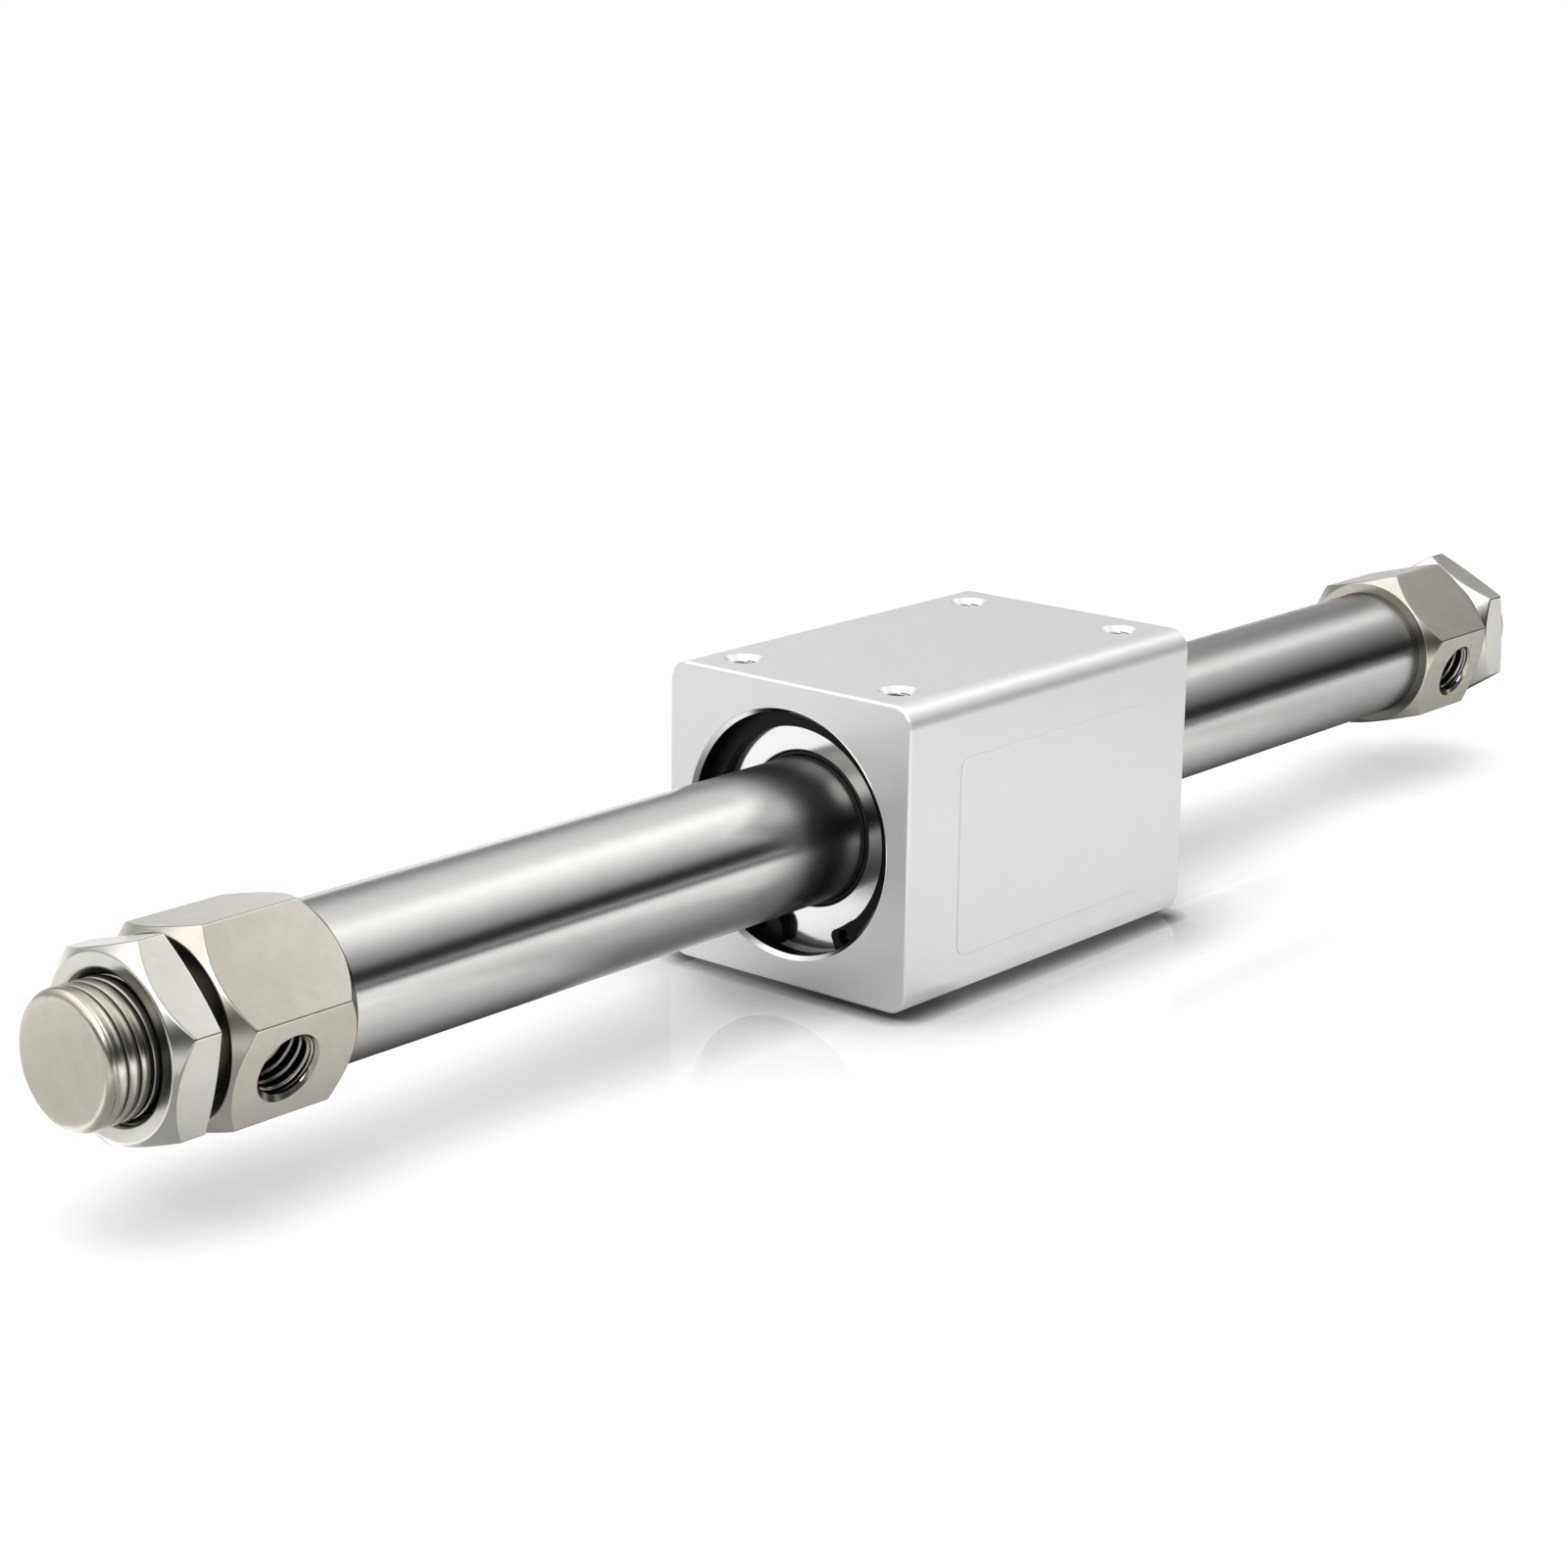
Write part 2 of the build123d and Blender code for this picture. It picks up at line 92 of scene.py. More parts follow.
class Body(Enum):
    """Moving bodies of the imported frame."""

    BARREL = "barrel"
    GLIDE = "glide"
    SLIDER = "slider"
    PISTON = "piston"
    LEFT_NUT = "left_nut"
    RIGHT_NUT = "right_nut"


@dataclass(frozen=True)
class Sizes:
    """Sizes that several sub-assemblies share.

    Args:
        rest_x: where the slider's and the piston's middle stand at rest.
        stack_half: half the length of either magnet stack.
        spacer_end: how far the spacers reach from the slider's middle.
        spigot_end: where each cover's spigot ends inside the tube.
        gasket_at: middle of each cover's gasket.
        end_play: gap between neighbours along the axis.
    """

    bore_radius: float = 5.0
    tube_radius: float = 6.0
    tube_half: float = 73.8
    rest_x: float = 0.8
    slider_half: float = 19.0
    slider_bore: float = 10.0
    stack_half: float = 10.0
    spacer_end: float = 16.4
    yoke_length: float = 2.0
    magnet_length: float = 4.0
    cover_inner: float = 70.5
    cover_outer: float = 81.4
    spigot_end: float = 67.5
    gasket_at: float = 69.7
    running_gap: float = 0.05
    end_play: float = 0.1


SIZES = Sizes()


# Surfaces worked out as arrays


@dataclass
class Outline:
    """Closed outline across the tube, as points with outward normals.

    Args:
        points: (columns, 2) array of Y and Z.
        normals: (columns, 2) array of unit normals.
    """

    points: np.ndarray
    normals: np.ndarray

    @property
    def angles(self) -> np.ndarray:
        """Angle of each column about +X, increasing over one turn."""
        return np.unwrap(np.arctan2(self.points[:, 1], self.points[:, 0]))

    @property
    def radii(self) -> np.ndarray:
        """Distance of each column from the axis."""
        return np.hypot(self.points[:, 0], self.points[:, 1])

    def ring(self, x: float | np.ndarray, inset: float = 0.0) -> np.ndarray:
        """Ring that follows the outline.

        Args:
            x: station along the tube, one value or one a column.
            inset: how far the ring lies inside the outline.

        Returns:
            (columns, 3) array of points.
        """
        across = self.points - inset * self.normals
        return np.column_stack([np.broadcast_to(x, len(across)), across])

    def circle(self, x: float | np.ndarray, radius: float | np.ndarray) -> np.ndarray:
        """Round ring whose columns stand at the outline's angles.

        Args:
            x: station along the tube, one value or one a column.
            radius: distance from the axis, one value or one a column.

        Returns:
            (columns, 3) array of points.
        """
        turned = self.angles
        wide = np.broadcast_to(radius, turned.shape)
        along = np.broadcast_to(x, turned.shape)
        return np.column_stack([along, wide * np.cos(turned), wide * np.sin(turned)])


def round_outline(columns: int) -> Outline:
    """Outline of a unit circle with evenly spaced columns.

    Args:
        columns: number of columns round the turn.

    Returns:
        The outline.
    """
    turned = np.linspace(0.0, TURN, columns, endpoint=False)
    across = np.column_stack([np.cos(turned), np.sin(turned)])
    return Outline(across, across.copy())


def polygon_outline(
    sides: int,
    apothem: float,
    corner_radius: float,
    vertex_angle: float,
    flat_steps: int,
    corner_steps: int,
) -> Outline:
    """Regular polygon with rounded corners.

    Each corner is an arc of corner_radius about a centre on the corner's own ray, and each flat runs
    straight from one arc's end to the next one's start.

    Args:
        sides: number of flats.
        apothem: distance from the axis to a flat.
        corner_radius: radius of the rounded corners.
        vertex_angle: angle of one corner about +X, in degrees.
        flat_steps: columns along each flat, without the arcs' own ends.
        corner_steps: steps along each arc.

    Returns:
        The outline.
    """
    half = math.pi / sides
    corners = math.radians(vertex_angle) + np.arange(sides) * 2.0 * half
    centre_at = (apothem - corner_radius) / math.cos(half)
    swing = np.linspace(-half, half, corner_steps + 1)
    facing = corners[:, None] + swing[None, :]
    normals = np.stack([np.cos(facing), np.sin(facing)], axis=-1)
    centres = centre_at * np.stack([np.cos(corners), np.sin(corners)], axis=-1)
    arcs = centres[:, None, :] + corner_radius * normals
    following = np.roll(arcs, -1, axis=0)
    edge = 0.5 * (1.0 - np.cos(np.linspace(0.0, math.pi, flat_steps + 2)[1:-1]))
    flats = arcs[:, -1:, :] + edge[None, :, None] * (following[:, :1, :] - arcs[:, -1:, :])
    flat_normals = np.broadcast_to(normals[:, -1:, :], flats.shape)
    points = np.concatenate([arcs, flats], axis=1).reshape(-1, 2)
    all_normals = np.concatenate([normals, flat_normals], axis=1).reshape(-1, 2)
    return Outline(points, all_normals)


def hexagon(apothem: float, corner_radius: float, vertex_angle: float) -> Outline:
    """Hexagon of a head cover or a mounting nut.

    Args:
        apothem: distance from the axis to a flat.
        corner_radius: radius of the rounded corners.
        vertex_angle: angle of one corner about +X, in degrees.

    Returns:
        The outline.
    """
    return polygon_outline(6, apothem, corner_radius, vertex_angle, *HEXAGON_STEPS)


def cone_edge(outline: Outline, apothem: float, edge: tuple[float, float]) -> tuple[float, np.ndarray]:
    """Where a cone that rounds off a hexagon's corners cuts the flats.

    Args:
        outline: the hexagon.
        apothem: distance from the axis to a flat.
        edge: inset of the end face's round edge, and the cone's length at a corner.

    Returns:
        The face's radius, and how far from the face the cone ends at each column.
    """
    face = apothem - edge[0]
    return face, edge[1] * (outline.radii - face) / (outline.radii.max() - face)


def softened(rings: np.ndarray, cut: float | np.ndarray, closed: bool, steps: int = 3) -> np.ndarray:
    """Round the corners between rings.

    Each corner becomes a quadratic curve that starts and ends cut away from it along its two sides,
    with one more ring a little further out on each side, which keeps the flats flat in shading.

    Args:
        rings: (rings, columns, 3) array.
        cut: distance from the corner to the curve's ends, one value or one a ring; 0 keeps a corner.
        closed: whether the last ring joins the first.
        steps: steps along each curve.

    Returns:
        (more rings, columns, 3) array.
    """
    count = len(rings)
    cuts = np.broadcast_to(cut, count)
    out = []
    for index in range(count):
        here = rings[index]
        if cuts[index] <= 0.0 or (not closed and index in (0, count - 1)):
            out.append(here)
            continue
        back = rings[index - 1] - here
        ahead = rings[(index + 1) % count] - here
        long_back = np.linalg.norm(back, axis=1, keepdims=True)
        long_ahead = np.linalg.norm(ahead, axis=1, keepdims=True)
        near_back = np.minimum(cuts[index], CURVE_SHARE * long_back)
        near_ahead = np.minimum(cuts[index], CURVE_SHARE * long_ahead)
        to_back = back / np.maximum(long_back, TINY)
        to_ahead = ahead / np.maximum(long_ahead, TINY)
        start, end = here + to_back * near_back, here + to_ahead * near_ahead
        out.append(here + to_back * near_back * GUARD_AT)
        for share in np.linspace(0.0, 1.0, steps + 1):
            out.append((1 - share) ** 2 * start + 2 * share * (1 - share) * here + share**2 * end)
        out.append(here + to_ahead * near_ahead * GUARD_AT)
    return np.stack(out)


def soft_rows(rows: list[tuple[np.ndarray, float]], closed: bool) -> np.ndarray:
    """Round the corners between rings that come with their own cuts.

    Args:
        rows: each ring with its cut.
        closed: whether the last ring joins the first.

    Returns:
        (more rings, columns, 3) array.
    """
    rings, cuts = zip(*rows)
    return softened(np.stack(rings), np.array(cuts), closed)


def oblong(start: float, end: float, inner: float, outer: float) -> Profile:
    """Profile with square ends, as a sleeve or a disc has.

    Args:
        start: station of the first face.
        end: station of the other face.
        inner: bore radius.
        outer: outer radius.

    Returns:
        Stations and radii.
    """
    return [(start, inner), (start, outer), (end, outer), (end, inner)]


def on_side(side: Side, profile: Profile) -> Profile:
    """Profile on one side of the slider's middle.

    Args:
        side: the side.
        profile: distances from the middle, and radii.

    Returns:
        Stations and radii.
    """
    return [(SIZES.rest_x + side.value * x, radius) for x, radius in profile]


@dataclass(frozen=True)
class ThreadForm:
    """One pitch of a thread, with 60 degree flanks unless phases and shares say otherwise.

    Args:
        pitch: advance in one turn.
        depth: from crest to root.
        inward: True for a screw, whose form is cut inwards from the crest radius.
        phases: places within the pitch, 0 to 1.
        shares: share of the depth that is cut at each of them.
    """

    pitch: float
    depth: float
    inward: bool = True
    phases: tuple[float, ...] = (
        0.0, 0.045, 0.08, 0.16, 0.33, 0.41, 0.44, 0.56, 0.59, 0.67, 0.84, 0.92, 0.955,
    )
    shares: tuple[float, ...] = (
        0.0, 0.0, 0.035, 0.24, 0.76, 0.97, 1.0, 1.0, 0.97, 0.76, 0.24, 0.035, 0.0,
    )

    def surface(
        self,
        outline: Outline,
        crest: float,
        reach: tuple[float, float],
        ceiling: tuple[list[float], list[float]],
        floor: tuple[list[float], list[float]] | None = None,
    ) -> tuple[np.ndarray, np.ndarray]:
        """Right-hand helical surface between two stations.

        Every row keeps one phase of the thread, and its station is its start plus pitch times angle
        over one turn. Its radius is the form's, held between a floor and a ceiling that depend on the
        station. Rows past an end lie on that end's circle, where welding closes them.

        Args:
            outline: gives the columns' angles.
            crest: radius where the form's depth is 0.
            reach: first and last station.
            ceiling: stations and the largest radius there.
            floor: stations and the smallest radius there.

        Returns:
            (points, quads) with a seam that steps over one pitch of rows.
        """
        first, last = reach
        turned = outline.angles - outline.angles[0]
        turns = int(math.ceil((last - first) / self.pitch)) + 2
        phases = np.tile(self.phases, turns) + np.repeat(np.arange(turns), len(self.phases))
        shares = np.tile(self.shares, turns)
        starts = first - self.pitch + phases * self.pitch
        station = starts[:, None] + self.pitch * turned[None, :] / TURN
        station = np.clip(station, first, last)
        sign = -1.0 if self.inward else 1.0
        radius = np.broadcast_to((crest + sign * self.depth * shares)[:, None], station.shape)
        if floor is not None:
            radius = np.maximum(radius, np.interp(station, *floor))
        radius = np.minimum(radius, np.interp(station, *ceiling))
        angle = outline.angles[None, :]
        points = np.stack([station, radius * np.cos(angle), radius * np.sin(angle)], axis=-1)
        rows, columns = station.shape
        row, column = np.meshgrid(np.arange(rows - 1), np.arange(columns), indexing="ij")
        seam = column == columns - 1
        step = np.where(seam, len(self.phases), 0)
        beside = (column + 1) % columns
        low = np.minimum(row + step, rows - 1) * columns + beside
        high = np.minimum(row + 1 + step, rows - 1) * columns + beside
        quads = np.stack([row * columns + column, low, high, (row + 1) * columns + column], axis=-1)
        return points.reshape(-1, 3), quads.reshape(-1, 4)


# phases and shares of a rolled thread: wide rounded crests with narrow roots
ROLLED = (
    (0.0, 0.14, 0.27, 0.37, 0.42, 0.45, 0.48, 0.5, 0.52, 0.55, 0.58, 0.63, 0.73, 0.86),
    (0.0, 0.02, 0.07, 0.15, 0.36, 0.7, 0.94, 1.0, 0.94, 0.7, 0.36, 0.15, 0.07, 0.02),
)


class Shell:
    """Surfaces of one piece, collected as arrays and welded into one closed mesh."""

    def __init__(self) -> None:
        """Start with nothing."""
        self.points: list[np.ndarray] = []
        self.quads: list[np.ndarray] = []
        self.count = 0

    def add(self, points: np.ndarray, quads: np.ndarray) -> "Shell":
        """Add a surface.

        Args:
            points: (n, 3) array in millimetres.
            quads: (m, 4) array of indices into points.

        Returns:
            The shell itself.
        """
        self.points.append(points)
        self.quads.append(quads + self.count)
        self.count += len(points)
        return self

    def rings(self, rings: np.ndarray, closed: bool = False, round_trip: bool = True) -> "Shell":
        """Add a grid of rings, each joined to the next.

        Args:
            rings: (rings, columns, 3) array.
            closed: whether the last ring joins the first.
            round_trip: whether the last column joins the first.

        Returns:
            The shell itself.
        """
        rows, columns = rings.shape[:2]
        row_count = rows if closed else rows - 1
        column_count = columns if round_trip else columns - 1
        row, column = np.meshgrid(np.arange(row_count), np.arange(column_count), indexing="ij")
        here, below = row * columns, (row + 1) % rows * columns
        beside = (column + 1) % columns
        quads = np.stack([here + column, here + beside, below + beside, below + column], axis=-1)
        return self.add(rings.reshape(-1, 3), quads.reshape(-1, 4))

    def mesh(
        self,
        name: str,
        turn: np.ndarray | None = None,
        shift: np.ndarray | None = None,
    ) -> bpy.types.Mesh:
        """Weld the surfaces, close their poles and point the faces outwards.

        Args:
            name: name of the mesh.
            turn: (3, 3) rotation applied to the points.
            shift: translation applied after the turn, in millimetres.

        Returns:
            The mesh, in metres.
        """
        points = np.concatenate(self.points)
        if turn is not None:
            points = points @ np.asarray(turn).T
        if shift is not None:
            points = points + shift
        mesh = bpy.data.meshes.new(name)
        mesh.from_pydata(points * MM, [], np.concatenate(self.quads).tolist())
        work = bmesh.new()
        work.from_mesh(mesh)
        bmesh.ops.remove_doubles(work, verts=work.verts, dist=WELD_MM * MM)
        bmesh.ops.dissolve_degenerate(work, edges=work.edges, dist=WELD_MM * MM * 0.5)
        loose = [vertex for vertex in work.verts if not vertex.link_faces]
        bmesh.ops.delete(work, geom=loose, context="VERTS")
        bmesh.ops.recalc_face_normals(work, faces=work.faces)
        if work.calc_volume(signed=True) < 0.0:
            bmesh.ops.reverse_faces(work, faces=work.faces)
        work.to_mesh(mesh)
        work.free()
        shade(mesh)
        return mesh


def shade(mesh: bpy.types.Mesh) -> None:
    """Smooth a mesh and keep its sharp edges sharp."""
    mesh.shade_smooth()
    mesh.set_sharp_from_angle(angle=SMOOTH_BELOW)


def add_lengthwise_map(mesh: bpy.types.Mesh) -> None:
    """Give a mesh a map whose U runs along X and whose V runs round the axis.

    V is the angle round the axis over one turn, taken from each face's own middle so that no face
    straddles the seam.
    """
    corners = np.empty(len(mesh.loops), dtype=np.int32)
    mesh.loops.foreach_get("vertex_index", corners)
    places = np.empty(len(mesh.vertices) * 3)
    mesh.vertices.foreach_get("co", places)
    at = places.reshape(-1, 3)[corners]
    sizes = np.empty(len(mesh.polygons), dtype=np.int32)
    mesh.polygons.foreach_get("loop_total", sizes)
    face = np.repeat(np.arange(len(sizes)), sizes)
    middle = np.stack([np.bincount(face, at[:, axis]) / sizes for axis in (1, 2)], axis=-1)[face]
    base = np.arctan2(middle[:, 1], middle[:, 0])
    turned = np.arctan2(at[:, 2], at[:, 1])
    turned = base + (turned - base + math.pi) % TURN - math.pi
    layer = mesh.uv_layers.new(name=LENGTHWISE)
    layer.uv.foreach_set("vector", np.column_stack([at[:, 0] / MAP_LENGTH, turned / TURN]).ravel())


def linked(name: str, data: bpy.types.ID) -> bpy.types.Object:
    """Make an object and link it to the scene.

    Args:
        name: name of the object.
        data: its mesh, camera or light.

    Returns:
        The object.
    """
    item = bpy.data.objects.new(name, data)
    bpy.context.scene.collection.objects.link(item)
    return item


def carved(mesh: bpy.types.Mesh, cutters: list[bpy.types.Mesh]) -> bpy.types.Mesh:
    """Cut closed meshes out of a closed mesh.

    Args:
        mesh: what is cut.
        cutters: what is taken away.

    Returns:
        The new mesh, under the first one's name.
    """
    block = linked("block", mesh)
    tools = [linked("cutter", cutter) for cutter in cutters]
    for tool in tools:
        step = block.modifiers.new("cut", "BOOLEAN")
        step.operation, step.solver, step.object = "DIFFERENCE", "EXACT", tool
    graph = bpy.context.evaluated_depsgraph_get()
    result = bpy.data.meshes.new_from_object(block.evaluated_get(graph))
    name = mesh.name
    for item in [block, *tools]:
        bpy.data.objects.remove(item)
    for spent in [mesh, *cutters]:
        bpy.data.meshes.remove(spent)
    result.name = name
    shade(result)
    return result


def aimed(direction: np.ndarray) -> np.ndarray:
    """Rotation that takes +X to a direction.

    Args:
        direction: unit vector.

    Returns:
        (3, 3) rotation.
    """
    return np.array(Vector((1.0, 0.0, 0.0)).rotation_difference(Vector(direction)).to_matrix())


UPWARDS = aimed(np.array([0.0, 0.0, 1.0]))


def painted_shade_cup(
    name: str,
    wall: float,
    reach: tuple[float, float],
    turn: np.ndarray,
    shift: np.ndarray,
) -> bpy.types.Mesh:
    """Dark layer of painted shade in the thread roots and on the floor of a blind hole, which the crests
    stand out of.

    Args:
        name: name of the mesh.
        wall: radius of the layer's inside.
        reach: where it ends near the mouth, and where its floor lies, along the hole's axis.
        turn: (3, 3) rotation that takes +X to the direction out of the hole.
        shift: where the hole's axis starts.

    Returns:
        The mesh of a closed cup, a hair thick.
    """
    outline = round_outline(SHADE_CUP_COLUMNS)
    high, low = reach
    under, outside = low - SHADE_CUP_SKIN, wall + SHADE_CUP_SKIN
    cup = [(high, wall), (low, wall), (low, 0.0), (under, 0.0), (under, outside), (high, outside)]
    rings = np.stack([outline.circle(x, radius) for x, radius in cup])
    return Shell().rings(rings, closed=True).mesh(name, turn, shift)


# Finishes


class Nodes:
    """Short way to lay out a node tree."""

    def __init__(self, tree: bpy.types.NodeTree) -> None:
        """Keep the tree."""
        self.tree = tree

    def make(self, kind: str, settings: dict | None = None, **inputs) -> bpy.types.Node:
        """Add a node.

        Args:
            kind: the node's type name.
            settings: attributes of the node.
            inputs: values or output sockets by input name, with _ for a space, or by at and number.

        Returns:
            The node.
        """
        node = self.tree.nodes.new(kind)
        for key, value in (settings or {}).items():
            setattr(node, key, value)
        for key, value in inputs.items():
            numbered = key.startswith("at") and key[2:].isdigit()
            self.feed(node.inputs[int(key[2:]) if numbered else key.replace("_", " ")], value)
        return node

    def feed(self, socket: Socket, value: Value | Color) -> None:
        """Set an input's value, or link it.

        Args:
            socket: the input.
            value: a value or an output socket.
        """
        if isinstance(value, Socket):
            self.tree.links.new(value, socket)
        else:
            socket.default_value = value

    def math(self, operation: str, *values: Value) -> Socket:
        """Add a Math node and give its output.

        Args:
            operation: the node's operation.
            values: numbers or sockets.

        Returns:
            The output socket.
        """
        node = self.make("ShaderNodeMath", {"operation": operation})
        for socket, value in zip(node.inputs, values):
            self.feed(socket, value)
        return node.outputs[0]

    def weighted(self, first: tuple[Socket, float], second: tuple[Socket, float]) -> Socket:
        """Sum of two weighted values.

        Args:
            first: a socket and its weight.
            second: the other socket and its weight.

        Returns:
            The output socket.
        """
        return self.math("ADD", self.math("MULTIPLY", *first), self.math("MULTIPLY", *second))

    def noise(self, place: Socket, scale: Value, detail: float) -> Socket:
        """Noise at a place.

        Args:
            place: coordinates.
            scale: number or socket.
            detail: octaves of finer noise.

        Returns:
            The output socket, 0 to 1.
        """
        return self.make("ShaderNodeTexNoise", Vector=place, Scale=scale, Detail=detail).outputs["Fac"]

    def remap(
        self,
        value: Socket,
        start: float,
        end: float,
        low: Value = 0.0,
        high: Value = 1.0,
        kind: str = "LINEAR",
    ) -> Socket:
        """Value that goes from low at start to high at end and stays there.

        Args:
            value: the socket that is read.
            start: where the change starts.
            end: where it ends.
            low: what is given at the start.
            high: what is given at the end.
            kind: interpolation of the node.

        Returns:
            The output socket.
        """
        node = self.make("ShaderNodeMapRange", {"interpolation_type": kind}, Value=value,
                         From_Min=start, From_Max=end, To_Min=low, To_Max=high)
        return node.outputs[0]

    def fade(
        self,
        value: Socket,
        start: float,
        end: float,
        low: Value = 0.0,
        high: Value = 1.0,
    ) -> Socket:
        """The same as remap, with soft ends."""
        return self.remap(value, start, end, low, high, "SMOOTHSTEP")

    def blend(self, share: Socket, low: Color, high: Color) -> Socket:
        """Mix two colours.

        Args:
            share: how much of the second is taken.
            low: first colour.
            high: second colour.

        Returns:
            The colour socket.
        """
        node = self.make("ShaderNodeMix", {"data_type": "RGBA"}, Factor=share, at6=low, at7=high)
        return node.outputs[2]

    def blend_shaders(self, share: Socket, low: Socket, high: Socket) -> Socket:
        """Mix two shaders, in the same order as blend."""
        return self.make("ShaderNodeMixShader", Fac=share, at1=low, at2=high).outputs[0]


def grey(value: float) -> tuple[float, float, float, float]:
    """Opaque grey of one value."""
    return (value, value, value, 1.0)


def new_material(name: str) -> tuple[bpy.types.Material, Nodes]:
    """Make a material with an empty node tree.

    Args:
        name: name of the material.

    Returns:
        The material and its layout helper.
    """
    made = bpy.data.materials.new(name)
    made.use_nodes = True
    made.node_tree.nodes.clear()
    return made, Nodes(made.node_tree)


class SurfaceGroups:
    """Node groups that the finishes share. Each reads Object coordinates in metres."""

    def __init__(self) -> None:
        """Build every group once."""
        self.grain = self._grain()
        self.tool_marks = self._tool_marks()
        self.patina = self._patina()

    @staticmethod
    def _new(name: str, inputs: dict[str, tuple], outputs: dict[str, str]) -> tuple:
        """Start a group with its sockets.

        Args:
            name: group name.
            inputs: socket type and default by name.
            outputs: socket type by name.

        Returns:
            The layout helper, the sockets that bring the group's inputs, those that take its
            outputs, both by name, and the socket of Object coordinates.
        """
        tree = bpy.data.node_groups.new(name, "ShaderNodeTree")
        for label, (kind, default) in inputs.items():
            socket = tree.interface.new_socket(label, in_out="INPUT", socket_type=kind)
            socket.default_value = default
        for label, kind in outputs.items():
            tree.interface.new_socket(label, in_out="OUTPUT", socket_type=kind)
        nodes = Nodes(tree)
        source, sink = nodes.make("NodeGroupInput").outputs, nodes.make("NodeGroupOutput").inputs
        return nodes, source, sink, nodes.make("ShaderNodeTexCoord").outputs["Object"]

    def _grain(self) -> bpy.types.NodeTree:
        """Fine grain, such as blasting or anodising leaves: a mask and a height from two noises."""
        nodes, source, sink, place = self._new(
            "fine_grain",
            {"Scale": ("NodeSocketFloat", 4000.0), "Contrast": ("NodeSocketFloat", 1.0)},
            {"Mask": "NodeSocketFloat", "Height": "NodeSocketFloat"},
        )
        fine = nodes.noise(place, source["Scale"], 3.0)
        coarse = nodes.noise(place, nodes.math("MULTIPLY", source["Scale"], 0.23), 2.0)
        mixed = nodes.weighted((fine, 0.65), (coarse, 0.35))
        centred = nodes.math("MULTIPLY", nodes.math("SUBTRACT", mixed, 0.5), source["Contrast"])
        nodes.feed(sink["Mask"], nodes.math("ADD", centred, 0.5))
        nodes.feed(sink["Height"], mixed)
        return nodes.tree

    def _tool_marks(self) -> bpy.types.NodeTree:
        """Marks of turning: lines round the tube's axis, spaced by radius plus station."""
        nodes, source, sink, place = self._new(
            "turning_marks",
            {"Spacing": ("NodeSocketFloat", 9000.0), "Wander": ("NodeSocketFloat", 0.2)},
            {"Mask": "NodeSocketFloat", "Height": "NodeSocketFloat"},
        )
        parts = nodes.make("ShaderNodeSeparateXYZ", Vector=place).outputs
        square = nodes.math("ADD", nodes.math("POWER", parts["Y"], 2.0), nodes.math("POWER", parts["Z"], 2.0))
        along = nodes.math("ADD", nodes.math("SQRT", square), parts["X"])
        drift = nodes.math("MULTIPLY", nodes.noise(place, 120.0, 1.0), MM)
        wander = nodes.math("MULTIPLY", drift, source["Wander"])
        line = nodes.make("ShaderNodeTexNoise", {"noise_dimensions": "1D"}, Scale=source["Spacing"],
                          W=nodes.math("ADD", along, wander), Detail=3.0).outputs["Fac"]
        nodes.feed(sink["Mask"], line)
        nodes.feed(sink["Height"], line)
        return nodes.tree

    def _patina(self) -> bpy.types.NodeTree:
        """Slow clouds and small specks that tone a colour up and down."""
        nodes, source, sink, place = self._new(
            "patina",
            {
                "Color": ("NodeSocketColor", grey(0.5)),
                "Dull Color": ("NodeSocketColor", grey(0.4)),
                "Cloud Scale": ("NodeSocketFloat", 260.0),
                "Speck Scale": ("NodeSocketFloat", 1500.0),
                "Amount": ("NodeSocketFloat", 0.5),
            },
            {"Color": "NodeSocketColor", "Mask": "NodeSocketFloat"},
        )
        clouds = nodes.remap(nodes.noise(place, source["Cloud Scale"], 4.0), 0.35, 0.7)
        specks = nodes.remap(nodes.noise(place, source["Speck Scale"], 2.0), 0.5, 0.75)
        mask = nodes.math("MULTIPLY", nodes.weighted((clouds, 0.7), (specks, 0.3)), source["Amount"])
        nodes.feed(sink["Color"], nodes.blend(mask, source["Color"], source["Dull Color"]))
        nodes.feed(sink["Mask"], mask)
        return nodes.tree


class Marks(Enum):
    """Which pattern roughens a finish."""

    GRAIN = "grain"
    TURNED = "tool_marks"


